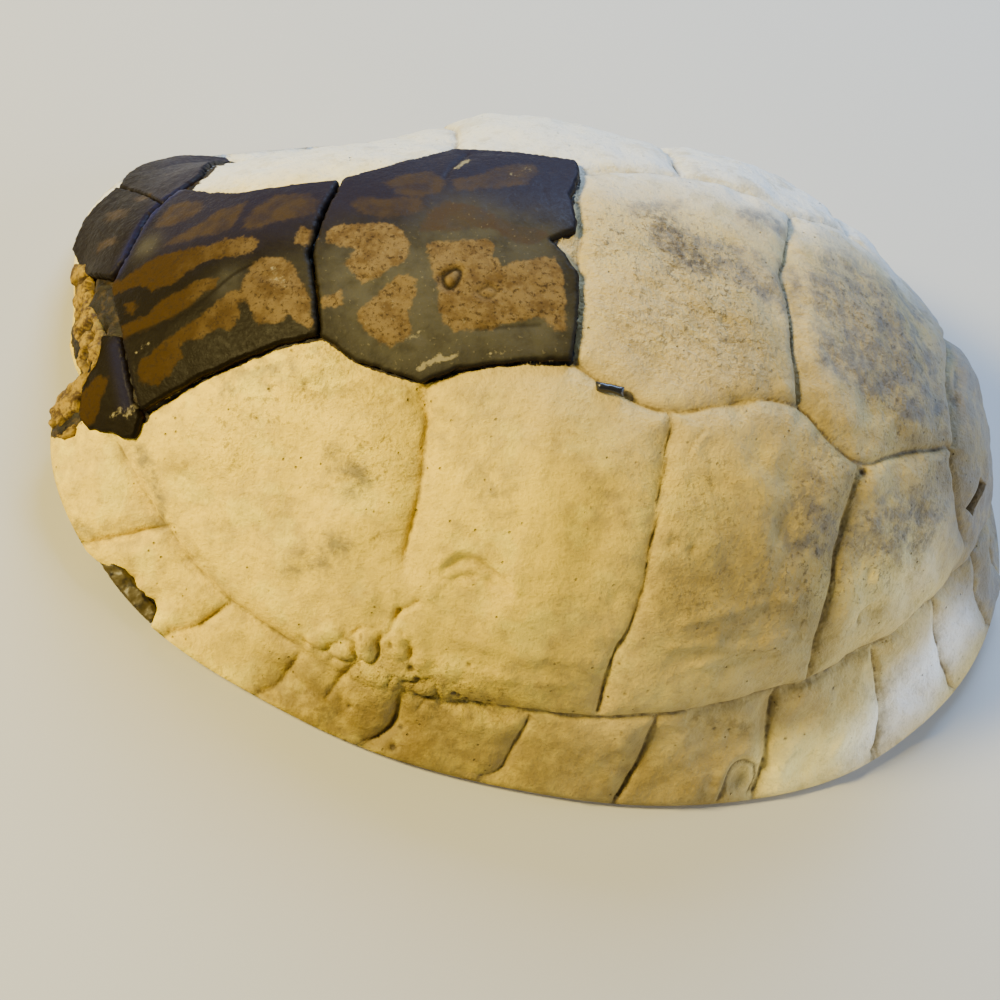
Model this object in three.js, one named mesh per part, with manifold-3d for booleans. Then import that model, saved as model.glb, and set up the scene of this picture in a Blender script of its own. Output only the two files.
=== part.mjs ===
// Upper shell of a box turtle: one piece of bleached bone, hollow underneath, with the last dark
// keratin scutes still lying on its head end.
// Millimetres, +Z up. The head end points to -X and the turtle's left side to -Y. The origin is
// under the middle of the shell, on the surface that its side rims rest on.
import * as THREE from 'three';
import Module from 'manifold-3d';
import { mergeVertices } from 'three/addons/utils/BufferGeometryUtils.js';

const DEG = Math.PI / 180;

// Rim seen from above: two half ovals that meet at the widest place, behind the middle
const MIDDLE_X = 3.8;
const REAR_REACH = 65.6;
const FRONT_REACH = 75.2;
const HALF_WIDTH = 52.8;
const REAR_FULLNESS = 2.05;
const FRONT_FULLNESS = 2.32;

// Dome
const APEX_X = 7.2;
const HEIGHT = 49.2;
const RING = 0.8; // share of the way down, from apex 0 to rim 1, at which the marginal band begins

// Each list of five runs from the rear by 45, 90 and 135 degrees to the head end
const BAND_WIDTH = [0.13, 0.18, 0.11, 0.1, 0.06]; // share of the plan radius
const BAND_RISE = [12.5, 14.5, 9.4, 3.9, 11.1];
const DOME_EDGE = [86, 78, 76, 65, 55]; // slope in degrees where the dome meets the band
const DOME_FILL = [-0.03, 0.065, -0.055, -0.035, -0.09];
const CREASE_SOFTENING = 0.06;

// Rim edge
const FRONT_LIFT = 4.9;
const REAR_LIFT = 2.5;
const REST_SPAN = 0.35; // cosine of the directions between which the side rims touch the ground
const LIP_HEIGHT = 0.8;
const LIP_START = 0.8;
const LIP_END = 3.2;

// Swells and hollows that make this shell uneven: direction in degrees, share of the way, height
const SWELL_TURN = 0.22;
const SWELL_SHARE = 0.22;
const SWELL_SIDEWAYS = 60; // reach from the apex past which a swell only pushes sideways
const SWELLS = [
  [26, 0.75, -0.8], [89, 0.7, -1.5], [109, 0.7, 1.6], [129, 0.75, -1.4],
  [146, 0.9, 3], [160, 1, 1.2], [180, 1, -3.3],
  [-120, 1, -1.1], [-52, 1, 0.8], [-29, 1, 0.7], [-11, 1, 0.7],
];

// Bone thickness, and the backbone that stays fused to the inside
const WALL = 2.4;
const RIM_WALL = 3;
const INSIDE_END = 0.93;
const INSIDE_RISE = 15; // least height of the inside over the rim, for the whole way down
const SPINE_FROM = -52;
const SPINE_TO = 46;
const SPINE_HEIGHT = 3.2;
const SPINE_HALF_WIDTH = 3;
const SPINE_FADE = 6;

// Grooves where the scutes met
const GROOVE_DEPTH = 0.8;
const GROOVE_HALF_WIDTH = 1.3;

// Mesh spacing
const SEAM_STEP = 3.2;
const RIM_STEP = 3.2;
const FILL_STEP = 4.8;
const INSIDE_STEP = 8.5;
const CLEAR = 1; // least distance between two places
const OUTSIDE_SHARES = [0.08, 0.16, 0.24, 0.32, 0.4, 0.48, 0.56, 0.63, 0.69, 0.74, 0.88, 0.94];
const INSIDE_SHARES = [0.12, 0.24, 0.36, 0.48, 0.58, 0.67, 0.75, 0.84];
const RIM_CLEAR = 0.985; // places nearer to the rim than this share are left out

// Scutes
const SCUTE_GAP = 0.45;
const SCUTE_THICKNESS = 0.9;
const SCUTE_STEP = 4.5;

// Groove routes in plan, in millimetres
const VERTEBRAL_LEFT = [
  [-58.3, -17.5], [-52, -15], [-47.7, -13.8], [-43.5, -12.7], [-38.8, -11.9], [-34.1, -15.4],
  [-25.9, -18], [-18.7, -16], [-8.8, -15.1], [-5.3, -17.1], [-0.1, -18.9], [4.2, -19.9],
  [10, -17.8], [20.7, -14.6], [25.8, -17.8], [31.4, -19.2], [38, -14.9], [47.4, -9.1],
  [47.9, -11.7], [50.6, -13.8], [55.3, -15],
];
const VERTEBRAL_RIGHT = [
  [-57, 17.4], [-50.3, 12.6], [-45.6, 11.7], [-38.4, 11.8], [-31.2, 14.9], [-24.4, 18.6],
  [-15.9, 17.3], [-9.2, 15.4], [-4.5, 16.6], [4.9, 18.4], [11, 18.4], [21.2, 17], [26, 18.5],
  [31.4, 19.2], [38, 14.9], [47.4, 9.1], [50.6, 13.4], [55.3, 15],
];
const CROSS_GROOVES = [
  [[-38.8, -11.9], [-40.2, -7.1], [-41.6, -1], [-40.3, 6], [-38.4, 11.8]],
  [[-8.8, -15.1], [-9.6, -8], [-9.4, 0], [-9.6, 8], [-9.2, 15.4]],
  [[20.7, -14.6], [19.6, -7.2], [18.7, 5.2], [21.2, 17]],
  [[47.4, -9.1], [46.5, -3.2], [45.8, 0], [46.5, 4], [47.4, 9.1]],
];
const COSTAL_LEFT = [
  [[-25.9, -18], [-24.4, -25.1], [-23.7, -31], [-24, -34.1], [-23, -39], [-22.6, -43.2]],
  [[4.2, -19.9], [4.7, -25.8], [5.4, -34.4], [5.8, -38.5], [4.7, -42.9], [5.5, -46.5]],
  [[31.4, -19.2], [30.7, -23.8], [31.3, -30.2], [31.7, -34.1], [33.5, -37.5]],
];
const COSTAL_RIGHT = [
  [[-24.4, 18.6], [-22.1, 34], [-22.6, 43.2]],
  [[4.9, 18.4], [5.7, 31.4], [5.5, 46.5]],
  [[31.4, 19.2], [30.7, 23.8], [31.3, 30.2], [33.5, 37.5]],
];
const MARGINAL_LEFT = [
  [[-52.9, -29.2], [-57.2, -29.3], [-62, -29.6]],
  [[-43.4, -36.8], [-47.5, -39.1], [-52.3, -40.2]],
  [[-33.2, -41], [-33.8, -42.6], [-35.4, -45.3], [-40, -46.5]],
  [[-21, -44.4], [-19.1, -47.6], [-21, -49.7], [-25.3, -50.6]],
  [[-2.7, -47.2], [-3.6, -49.7], [-4.3, -51.3], [-8.8, -53]],
  [[13.3, -45.6], [13.6, -47.2], [13.3, -49.6], [11.6, -53]],
  [[29.3, -39.9], [31.1, -43.8], [31.8, -45.7], [31.3, -49]],
  [[43.1, -31.2], [45.4, -32.5], [47.9, -34.9], [48.9, -37.1], [48.6, -40]],
];
// Rearmost marginal grooves and the sides of the nuchal, as directions in degrees
const STRAIGHT_MARGINALS = [-30, -17, -7, 0, 6, 17, 30, 174, -175];

// Lumps and pits of the bone: x, y, radius and height
const LUMPS = [
  [-28.5, -41.6, 2, 0.9], [-25.2, -41.4, 2.2, 1.1], [-21.3, -41.8, 2.4, 1], [-30, -38.5, 3, 0.4],
  [-17.6, -44.8, 2.2, -1], [-12.8, -45.8, 1.8, -0.8],
  [-17.7, -34.4, 2, 0.6], [-14.2, -36, 2.6, -0.8], [-10.3, -37.9, 2, 0.5],
  [29.2, -47, 2.6, -1.1], [39.3, -29.7, 1.8, -0.6], [9, -32.7, 2, -0.5], [8.4, -22.4, 2, 0.5],
  [32.5, -19.4, 1.2, -0.9],
];

// Broken place in the left rim: direction in degrees and how far the rim is bitten away
const BITE = [
  [-148, 0], [-146, 0.6], [-144, 2.8], [-142.5, 3.4], [-140.5, 2.2], [-138.5, 3.4], [-137, 2.6],
  [-135, 0],
];
const BITE_SHARE = 0.86;

// Slot through the bone near the tail, just left of the midline
const SLOT_AT = [-14, 0.73];
const SLOT_WIDTH = 3.4;
const SLOT_LENGTH = 4.8;
const SLOT_TURN = 112;

// Scute outlines in plan
const SCUTE_OUTLINES = {
  scute_vertebral_1: [
    [-58.2, -17.1], [-52, -15], [-47.7, -13.8], [-43.5, -12.7], [-39.2, -12.1], [-40.4, -7.1],
    [-41.8, -1], [-40.6, 6], [-38.8, 11.6], [-45.6, 11.7], [-50.3, 12], [-53.6, 13.9],
    [-56.7, 16.9], [-60.6, 12.9], [-63.9, 5.6], [-66, 1.5], [-62.8, -7.2], [-60.8, -12],
  ],
  scute_vertebral_2: [
    [-38.5, -12.3], [-34.1, -15.4], [-26.1, -18], [-22.6, -16.4], [-18.7, -15.9], [-9.4, -14.9],
    [-9.9, -4], [-12.3, -0.7], [-13.4, 0.4], [-10.3, 2.4], [-10.9, 8.2], [-9.4, 13.3],
    [-9.4, 16.3], [-15.9, 17.5], [-21.9, 18.4], [-24.4, 18.8], [-31.2, 14.9], [-37.9, 11.9],
    [-39.6, 6], [-40.8, -1], [-39.5, -7.1],
  ],
  scute_marginal_right_1: [
    [-59.6, 14.9], [-61.3, 13.2], [-64.6, 6], [-66.6, 3.6], [-68.3, 7], [-69.3, 10.2],
    [-69.4, 14.6], [-67, 19.6], [-62.6, 24.7],
  ],
  scute_marginal_right_2: [
    [-61.8, 25.3], [-61.2, 28.4], [-59.6, 31.9], [-55.4, 35.9], [-50, 37.2], [-49.2, 35],
    [-54, 20.9], [-56.9, 17.5], [-58.8, 15.5],
  ],
  scute_marginal_left_1: [
    [-66.3, -6.3], [-63.3, -7.6], [-61.4, -12.2], [-59.3, -16.4], [-58.2, -18], [-58.8, -20],
    [-60.2, -19.6], [-61.9, -18.8], [-64.1, -17.5], [-65.4, -15.8], [-66.2, -12.6], [-66.4, -9.8],
  ],
};
const SPLINTER_OUTLINE = [[-5.8, -17.2], [-2.3, -17.6], [-2.3, -18.7], [-5.6, -18.2]];
const SPLINTER_THICKNESS = 0.6;

// Crumbled keratin along the head end, and the flap that shows in the broken place: corners as
// direction in degrees and share of the way
const CRUST_CORNERS = [
  [172.5, 0.99], [174, 0.95], [176.5, 0.91], [179.5, 0.87], [-176, 0.85], [-172, 0.88],
  [-169, 0.91], [-164, 0.91], [-161.5, 0.93], [-162, 0.99], [-166, 0.99], [-171, 0.99],
  [-176, 0.99], [180, 0.99],
];
const CRUST_THICKNESS = 1.3;
const CRUST_LUMPS = [[174, 0.94, 0.8], [-178, 0.92, 1], [-170, 0.95, 0.4], [-164.5, 0.96, 1.1]];
const CRUST_LUMP_TURN = 3.5;
const CRUST_LUMP_SHARE = 0.05;
const FLAP_CORNERS = [
  [-145.4, 0.995], [-144, 0.967], [-142.5, 0.957], [-140.5, 0.975], [-138.5, 0.957],
  [-137, 0.972], [-136.3, 0.995], [-139, 0.998], [-142, 0.998],
];
const FLAP_DEPTH = 0.9;
const FLAP_THICKNESS = 0.8;

const clamp = (value, low, high) => Math.min(high, Math.max(low, value));
const mix = (a, b, share) => a + (b - a) * share;
const signedPower = (value, power) => Math.sign(value) * Math.abs(value) ** power;

// Smooth curve, alike on both sides, through five values at 0, 45, 90, 135 and 180 degrees
function around(values, turn) {
  const last = values.length - 1;
  const half = (index) => (index === 0 || index === last ? 0.5 : 1);
  let sum = 0;
  for (let wave = 0; wave <= last; wave += 1) {
    let weight = 0;
    values.forEach((value, j) => {
      weight += half(j) * value * Math.cos((Math.PI * j * wave) / last);
    });
    sum += half(wave) * (2 / last) * weight * Math.cos(wave * turn);
  }
  return sum;
}

function rimPoint(turn) {
  const rear = Math.cos(turn) > 0;
  const power = 2 / (rear ? REAR_FULLNESS : FRONT_FULLNESS);
  const reach = rear ? REAR_REACH : FRONT_REACH;
  return [
    MIDDLE_X + reach * signedPower(Math.cos(turn), power),
    HALF_WIDTH * signedPower(Math.sin(turn), power),
  ];
}

function rimLift(turn) {
  const out = clamp((Math.abs(Math.cos(turn)) - REST_SPAN) / (1 - REST_SPAN), 0, 1);
  return (Math.cos(turn) < 0 ? FRONT_LIFT : REAR_LIFT) * out * out;
}

// The even dome and band. turn is the direction in radians, share runs from 0 to 1.
function creasedPoint(turn, share) {
  const [rimX, rimY] = rimPoint(turn);
  const band = around(BAND_WIDTH, turn);
  const edge = around(DOME_EDGE, turn) * DEG;
  const up = clamp(share / RING, 0, 1);
  const out = clamp((share - RING) / (1 - RING), 0, 1);
  const slope = Math.asin(clamp(up * Math.sin(edge), 0, 1));
  const rounding = (Math.cos(slope) - Math.cos(edge)) / (1 - Math.cos(edge));
  const crown = rounding + around(DOME_FILL, turn) * up * up * (1 - up * up);
  const reach = (1 - band) * up + band * out;
  const lift = rimLift(turn);
  const ringHeight = around(BAND_RISE, turn) + lift;
  const z = share <= RING
    ? mix(ringHeight, HEIGHT, crown)
    : mix(ringHeight, lift + LIP_HEIGHT, out);
  return new THREE.Vector3(mix(APEX_X, rimX, reach), rimY * reach, z);
}

// The same with the crease between dome and band rounded off
function evenPoint(turn, share) {
  const reach = CREASE_SOFTENING * clamp((1 - share) / 0.1, 0, 1) * clamp(share / 0.5, 0, 1);
  const point = creasedPoint(turn, share);
  if (reach === 0) return point;
  const sides = creasedPoint(turn, share - reach).add(creasedPoint(turn, share + reach));
  return point.multiplyScalar(2).add(sides).divideScalar(4);
}

function angleBetween(a, b) {
  return Math.atan2(Math.sin(a - b), Math.cos(a - b));
}

function biteDepth(turn) {
  const angle = angleBetween(turn, 0) / DEG;
  for (let i = 1; i < BITE.length; i += 1) {
    const [from, depthFrom] = BITE[i - 1];
    const [to, depthTo] = BITE[i];
    if (angle >= from && angle <= to) return mix(depthFrom, depthTo, (angle - from) / (to - from));
  }
  return 0;
}

// The outside with its swells. Near the rim they only push sideways, so that the rests stay flat.
function outsidePoint(turn, share, bitten = true) {
  const point = evenPoint(turn, share);
  const away = new THREE.Vector3(point.x - APEX_X, point.y, 0);
  const reach = away.length();
  if (reach < 1e-6) return point;
  away.divideScalar(reach);
  let height = 0;
  SWELLS.forEach(([degrees, at, swell]) => {
    const side = angleBetween(turn, degrees * DEG) / SWELL_TURN;
    const along = (share - at) / SWELL_SHARE;
    height += swell * Math.exp(-side * side - along * along);
  });
  const flat = clamp(reach / SWELL_SIDEWAYS, 0, 1);
  point.addScaledVector(away, height * flat);
  if (share < 1) point.z += height * Math.sqrt(1 - flat * flat);
  if (bitten) {
    const rimward = clamp((share - BITE_SHARE) / (1 - BITE_SHARE), 0, 1);
    point.addScaledVector(away, -biteDepth(turn) * rimward);
  }
  return point;
}

function outwardNormal(turn, share) {
  const at = clamp(share, 0.02, 0.97);
  const step = 0.01;
  const across = outsidePoint(turn + step, at, false).sub(outsidePoint(turn - step, at, false));
  const down = outsidePoint(turn, at + step, false).sub(outsidePoint(turn, at - step, false));
  return down.cross(across).normalize();
}

// Finds the direction and share of a place given in plan
function locate([x, y]) {
  const wanted = Math.atan2(Math.abs(y), x - APEX_X);
  let low = 0;
  let high = Math.PI;
  for (let i = 0; i < 40; i += 1) {
    const middle = (low + high) / 2;
    const [rimX, rimY] = rimPoint(middle);
    if (Math.atan2(rimY, rimX - APEX_X) < wanted) low = middle;
    else high = middle;
  }
  const turn = (low + high) / 2;
  const [rimX, rimY] = rimPoint(turn);
  const reach = Math.hypot(x - APEX_X, y) / Math.hypot(rimX - APEX_X, rimY);
  const band = around(BAND_WIDTH, turn);
  const share = reach <= 1 - band
    ? (RING * reach) / (1 - band)
    : RING + ((1 - RING) * (reach - 1 + band)) / band;
  return { turn: y < 0 ? -turn : turn, share: Math.min(1, share) };
}

// A place on the shell, with where it lies in the dome rolled out flat from its apex
function place(turn, share) {
  const steps = 12;
  let length = 0;
  let last = evenPoint(turn, 0);
  for (let i = 1; i <= steps; i += 1) {
    const next = evenPoint(turn, (share * i) / steps);
    length += next.distanceTo(last);
    last = next;
  }
  return {
    turn, share, point: last, u: length * Math.cos(turn), v: length * Math.sin(turn),
  };
}

// Places at even steps along a route given in plan. A route that runs past the rim stops there.
function alongRoute(route, step) {
  const places = [];
  for (let i = 1; i < route.length; i += 1) {
    const [x0, y0] = route[i - 1];
    const [x1, y1] = route[i];
    const start = locate(route[i - 1]);
    const end = locate(route[i]);
    const length = evenPoint(start.turn, start.share).distanceTo(evenPoint(end.turn, end.share));
    const count = Math.max(1, Math.round(length / step));
    for (let k = i === 1 ? 0 : 1; k <= count; k += 1) {
      const { turn, share } = locate([mix(x0, x1, k / count), mix(y0, y1, k / count)]);
      places.push(place(turn, share));
      if (share >= 1) return places;
    }
  }
  return places;
}

function ringRoute() {
  const count = 96;
  return Array.from({ length: count + 1 }, (_, i) => place((i / count) * 2 * Math.PI, RING));
}

function straightMarginal(degrees) {
  return [RING, 0.87, 0.94, 1].map((share) => place(degrees * DEG, share));
}

function grooveRoutes() {
  const mirrored = MARGINAL_LEFT.map((route) => route.map(([x, y]) => [x, -y]));
  const plain = [VERTEBRAL_LEFT, VERTEBRAL_RIGHT, ...CROSS_GROOVES, ...COSTAL_LEFT,
    ...COSTAL_RIGHT, ...MARGINAL_LEFT, ...mirrored];
  return [
    ringRoute(),
    ...plain.map((route) => alongRoute(route, SEAM_STEP)),
    ...STRAIGHT_MARGINALS.map(straightMarginal),
  ];
}

const GROOVES = grooveRoutes();

function nearestGroove(point) {
  let best = Infinity;
  const line = new THREE.Line3();
  const foot = new THREE.Vector3();
  GROOVES.forEach((route) => {
    for (let i = 1; i < route.length; i += 1) {
      line.set(route[i - 1].point, route[i].point);
      best = Math.min(best, line.closestPointToPoint(point, true, foot).distanceTo(point));
    }
  });
  return best;
}

function relief({ point }) {
  const share = clamp(nearestGroove(point) / GROOVE_HALF_WIDTH, 0, 1);
  let height = -GROOVE_DEPTH * (1 - share) ** 1.5;
  LUMPS.forEach(([x, y, radius, lump]) => {
    const distance = Math.hypot(point.x - x, point.y - y) / radius;
    height += lump * Math.exp(-distance * distance);
  });
  return height;
}

// Adds the places that lie at least a distance away from all that are already there
function addClear(places, candidates, distance) {
  candidates.forEach((candidate) => {
    const taken = places.some(({ point }) => point.distanceTo(candidate.point) < distance);
    if (!taken) places.push(candidate);
  });
}

// Places on rings about the apex, with about the given step between them
function fillPlaces(shares, step) {
  const places = [place(0, 0)];
  shares.forEach((share, row) => {
    const girth = 2 * Math.PI * share * mix(HALF_WIDTH, REAR_REACH, 0.5);
    const count = Math.round(girth / step);
    for (let i = 0; i < count; i += 1) {
      places.push(place(((i + (row % 2) / 2) / count) * 2 * Math.PI, share));
    }
  });
  return places;
}

// The shoulders on both sides of a groove
function shoulders(route) {
  const sides = [];
  for (let i = 1; i < route.length - 1; i += 1) {
    const { turn, share, point } = route[i];
    const along = route[i + 1].point.clone().sub(route[i - 1].point).normalize();
    const across = along.cross(outwardNormal(turn, share)).multiplyScalar(GROOVE_HALF_WIDTH);
    [1, -1].forEach((side) => {
      const moved = point.clone().addScaledVector(across, side);
      const found = locate([moved.x, moved.y]);
      if (found.share < RIM_CLEAR) sides.push(place(found.turn, found.share));
    });
  }
  return sides;
}

function lumpPlaces() {
  const places = [];
  LUMPS.forEach(([x, y, radius]) => {
    places.push([x, y]);
    for (let i = 0; i < 6; i += 1) {
      const angle = (i / 6) * 2 * Math.PI;
      places.push([x + radius * Math.cos(angle), y + radius * Math.sin(angle)]);
    }
  });
  return places.map(locate)
    .filter(({ share }) => share < RIM_CLEAR)
    .map(({ turn, share }) => place(turn, share));
}

// Rim stations: the ends of the marginal grooves, the broken place and even steps between them
function rimTurns() {
  const ends = GROOVES.map((route) => route[route.length - 1])
    .filter(({ share }) => share >= 1)
    .map(({ turn }) => turn);
  const fixed = [...ends, ...BITE.map(([degrees]) => degrees * DEG)];
  const count = Math.round((2 * Math.PI * mix(HALF_WIDTH, REAR_REACH, 0.5)) / RIM_STEP);
  const turns = [];
  const keep = (turn, room) => {
    if (turns.every((other) => Math.abs(angleBetween(other, turn)) > room)) turns.push(turn);
  };
  fixed.forEach((turn) => keep(turn, 0.015));
  for (let i = 0; i < count; i += 1) keep((i / count) * 2 * Math.PI, 0.035);
  return turns.map((turn) => (turn + 2 * Math.PI) % (2 * Math.PI)).sort((a, b) => a - b);
}

// Delaunay triangles of points in the plane, found by adding them one at a time
function triangulate(points) {
  const far = 1e4;
  const corners = [{ u: -far, v: -far }, { u: far, v: -far }, { u: 0, v: far }];
  // a tiny even scatter keeps four points from lying on one circle
  const scattered = points.map(({ u, v }, i) => ({
    u: u + 1e-4 * Math.sin(i * 12.9), v: v + 1e-4 * Math.cos(i * 7.7),
  }));
  const all = [...scattered, ...corners];
  const circle = (a, b, c) => {
    const [p, q, r] = [all[a], all[b], all[c]];
    const d = 2 * (p.u * (q.v - r.v) + q.u * (r.v - p.v) + r.u * (p.v - q.v));
    const p2 = p.u * p.u + p.v * p.v;
    const q2 = q.u * q.u + q.v * q.v;
    const r2 = r.u * r.u + r.v * r.v;
    const u = (p2 * (q.v - r.v) + q2 * (r.v - p.v) + r2 * (p.v - q.v)) / d;
    const v = (p2 * (r.u - q.u) + q2 * (p.u - r.u) + r2 * (q.u - p.u)) / d;
    return { a, b, c, u, v, square: (p.u - u) ** 2 + (p.v - v) ** 2 };
  };
  const count = points.length;
  let triangles = [circle(count, count + 1, count + 2)];
  for (let i = 0; i < count; i += 1) {
    const { u, v } = all[i];
    const edges = new Map();
    const kept = [];
    triangles.forEach((triangle) => {
      if ((triangle.u - u) ** 2 + (triangle.v - v) ** 2 >= triangle.square) {
        kept.push(triangle);
        return;
      }
      const { a, b, c } = triangle;
      [[a, b], [b, c], [c, a]].forEach(([from, to]) => {
        const back = `${to},${from}`;
        if (edges.has(back)) edges.delete(back);
        else edges.set(`${from},${to}`, [from, to]);
      });
    });
    edges.forEach(([from, to]) => kept.push(circle(from, to, i)));
    triangles = kept;
  }
  return triangles
    .filter(({ a, b, c }) => Math.max(a, b, c) < count)
    .map(({ a, b, c }) => [a, b, c]);
}

function insideOutline(outline, u, v) {
  let inside = false;
  outline.forEach((corner, i) => {
    const last = outline[(i + outline.length - 1) % outline.length];
    if ((corner.v > v) === (last.v > v)) return;
    if (u < ((last.u - corner.u) * (v - corner.v)) / (last.v - corner.v) + corner.u) inside = !inside;
  });
  return inside;
}

// Triangles of a sheet of places. The first places are its outline, in order.
function sheet(places, outlineCount) {
  const outline = places.slice(0, outlineCount);
  return triangulate(places).filter(([a, b, c]) => {
    const u = (places[a].u + places[b].u + places[c].u) / 3;
    const v = (places[a].v + places[b].v + places[c].v) / 3;
    return insideOutline(outline, u, v);
  });
}

// Collects points and triangles of one closed body
function bodyBuilder() {
  const positions = [];
  const faces = [];
  return {
    add(point) {
      positions.push(point.x, point.y, point.z);
      return positions.length / 3 - 1;
    },
    face(a, b, c) {
      faces.push(a, b, c);
    },
    // joins two loops of equal length; the first lies outside or above the second
    strip(first, second) {
      first.forEach((corner, i) => {
        const next = (i + 1) % first.length;
        faces.push(corner, second[i], first[next]);
        faces.push(first[next], second[i], second[next]);
      });
    },
    geometry() {
      const geometry = new THREE.BufferGeometry();
      geometry.setAttribute('position', new THREE.Float32BufferAttribute(positions, 3));
      geometry.setIndex(faces);
      geometry.computeVertexNormals();
      return geometry;
    },
  };
}

function outsidePlaces(turns) {
  const places = turns.map((turn) => place(turn, 1));
  const loop = places.length;
  GROOVES.forEach((route) => addClear(places, route, CLEAR));
  GROOVES.forEach((route) => addClear(places, shoulders(route), CLEAR));
  addClear(places, lumpPlaces(), CLEAR);
  addClear(places, fillPlaces(OUTSIDE_SHARES, FILL_STEP), GROOVE_HALF_WIDTH * 1.5);
  return { places, loop };
}

function insidePlaces(turns) {
  const places = turns.map((turn) => place(turn, INSIDE_END));
  const loop = places.length;
  for (let x = SPINE_FROM - 3; x <= SPINE_TO + 3; x += SPINE_FADE) {
    [0, -SPINE_HALF_WIDTH, SPINE_HALF_WIDTH].forEach((y) => {
      const { turn, share } = locate([x, y]);
      places.push(place(turn, share));
    });
  }
  addClear(places, fillPlaces(INSIDE_SHARES, INSIDE_STEP), SPINE_HALF_WIDTH);
  return { places, loop };
}

function insideDepth({ share, point }) {
  const rimward = clamp((share - 0.6) / 0.2, 0, 1);
  const wall = mix(WALL, RIM_WALL, rimward);
  const front = clamp((point.x - SPINE_FROM) / SPINE_FADE, 0, 1);
  const rear = clamp((SPINE_TO - point.x) / SPINE_FADE, 0, 1);
  const middle = clamp(1 - Math.abs(point.y) / SPINE_HALF_WIDTH, 0, 1);
  return wall + SPINE_HEIGHT * front * rear * middle;
}

// A point on the underside of the rim, set in from the edge
function lipPoint(turn, inset) {
  const point = outsidePoint(turn, 1);
  const away = new THREE.Vector3(point.x - APEX_X, point.y, 0).normalize();
  point.addScaledVector(away, -inset);
  point.z = rimLift(turn);
  return point;
}

function boneGeometry() {
  const body = bodyBuilder();
  const turns = rimTurns();
  const outside = outsidePlaces(turns);
  const outer = outside.places.map((at) => {
    const height = at.share >= 1 ? 0 : relief(at);
    const point = outsidePoint(at.turn, at.share);
    return body.add(point.addScaledVector(outwardNormal(at.turn, at.share), height));
  });
  sheet(outside.places, outside.loop).forEach(([a, b, c]) => body.face(outer[a], outer[b], outer[c]));
  const lipOuter = turns.map((turn) => body.add(lipPoint(turn, LIP_START)));
  const lipInner = turns.map((turn) => body.add(lipPoint(turn, LIP_END)));
  const inside = insidePlaces(turns);
  const inner = inside.places.map((at) => {
    const point = outsidePoint(at.turn, at.share);
    point.addScaledVector(outwardNormal(at.turn, at.share), -insideDepth(at));
    point.z = Math.max(point.z, rimLift(at.turn) + INSIDE_RISE * (1 - at.share));
    return body.add(point);
  });
  sheet(inside.places, inside.loop).forEach(([a, b, c]) => body.face(inner[a], inner[c], inner[b]));
  body.strip(outer.slice(0, turns.length), lipOuter);
  body.strip(lipOuter, lipInner);
  body.strip(lipInner, inner.slice(0, turns.length));
  return body.geometry();
}

// A thin plate that lies on the bone. height says how high its top stands over a place.
function plateGeometry(outline, gap, thickness, height = () => 0) {
  const body = bodyBuilder();
  const places = [...outline];
  const loop = outline.length;
  const box = new THREE.Box3().setFromPoints(outline.map(({ point }) => point));
  for (let x = box.min.x; x < box.max.x; x += SCUTE_STEP) {
    for (let y = box.min.y; y < box.max.y; y += SCUTE_STEP) {
      const { turn, share } = locate([x, y]);
      const spot = place(turn, share);
      if (insideOutline(outline, spot.u, spot.v)) addClear(places, [spot], SCUTE_STEP / 2);
    }
  }
  const faces = sheet(places, loop);
  const raised = (at, lift) => {
    const point = outsidePoint(at.turn, at.share, false);
    return body.add(point.addScaledVector(outwardNormal(at.turn, at.share), lift));
  };
  const top = places.map((at) => raised(at, gap + thickness + height(at)));
  const bottom = places.map((at) => raised(at, gap));
  faces.forEach(([a, b, c]) => {
    body.face(top[a], top[b], top[c]);
    body.face(bottom[a], bottom[c], bottom[b]);
  });
  body.strip(top.slice(0, loop), bottom.slice(0, loop));
  return body.geometry();
}

// Turns an outline so that it runs the same way round as the rim, and fills in long sides
function closedOutline(places) {
  let area = 0;
  places.forEach((spot, i) => {
    const next = places[(i + 1) % places.length];
    area += spot.u * next.v - next.u * spot.v;
  });
  const ordered = area > 0 ? places : [...places].reverse();
  const filled = [];
  ordered.forEach((spot, i) => {
    const next = ordered[(i + 1) % ordered.length];
    const count = Math.max(1, Math.round(spot.point.distanceTo(next.point) / SCUTE_STEP));
    for (let k = 0; k < count; k += 1) {
      const share = k / count;
      const turn = spot.turn + angleBetween(next.turn, spot.turn) * share;
      filled.push(place(turn, mix(spot.share, next.share, share)));
    }
  });
  return filled;
}

function planOutline(corners) {
  const places = corners.map((corner) => {
    const { turn, share } = locate(corner);
    return place(turn, Math.min(share, RIM_CLEAR));
  });
  return closedOutline(places);
}

function turnOutline(corners) {
  return closedOutline(corners.map(([degrees, share]) => place(degrees * DEG, share)));
}

function crustHeight({ turn, share }) {
  let height = 0;
  CRUST_LUMPS.forEach(([degrees, at, lump]) => {
    const side = angleBetween(turn, degrees * DEG) / (CRUST_LUMP_TURN * DEG);
    const along = (share - at) / CRUST_LUMP_SHARE;
    height += lump * Math.exp(-side * side - along * along);
  });
  return height;
}

const wasm = await Module();
wasm.setup();

function solidOf(geometry) {
  const bare = geometry.clone();
  bare.deleteAttribute('normal');
  if (bare.getAttribute('uv')) bare.deleteAttribute('uv');
  const merged = mergeVertices(bare, 1e-5);
  return new wasm.Manifold(new wasm.Mesh({
    numProp: 3,
    vertProperties: new Float32Array(merged.getAttribute('position').array),
    triVerts: new Uint32Array(merged.getIndex().array),
  }));
}

function geometryOf(solid) {
  const { vertProperties, triVerts } = solid.getMesh();
  const geometry = new THREE.BufferGeometry();
  geometry.setAttribute('position', new THREE.BufferAttribute(vertProperties, 3));
  geometry.setIndex(new THREE.BufferAttribute(triVerts, 1));
  geometry.computeVertexNormals();
  return geometry;
}

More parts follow.
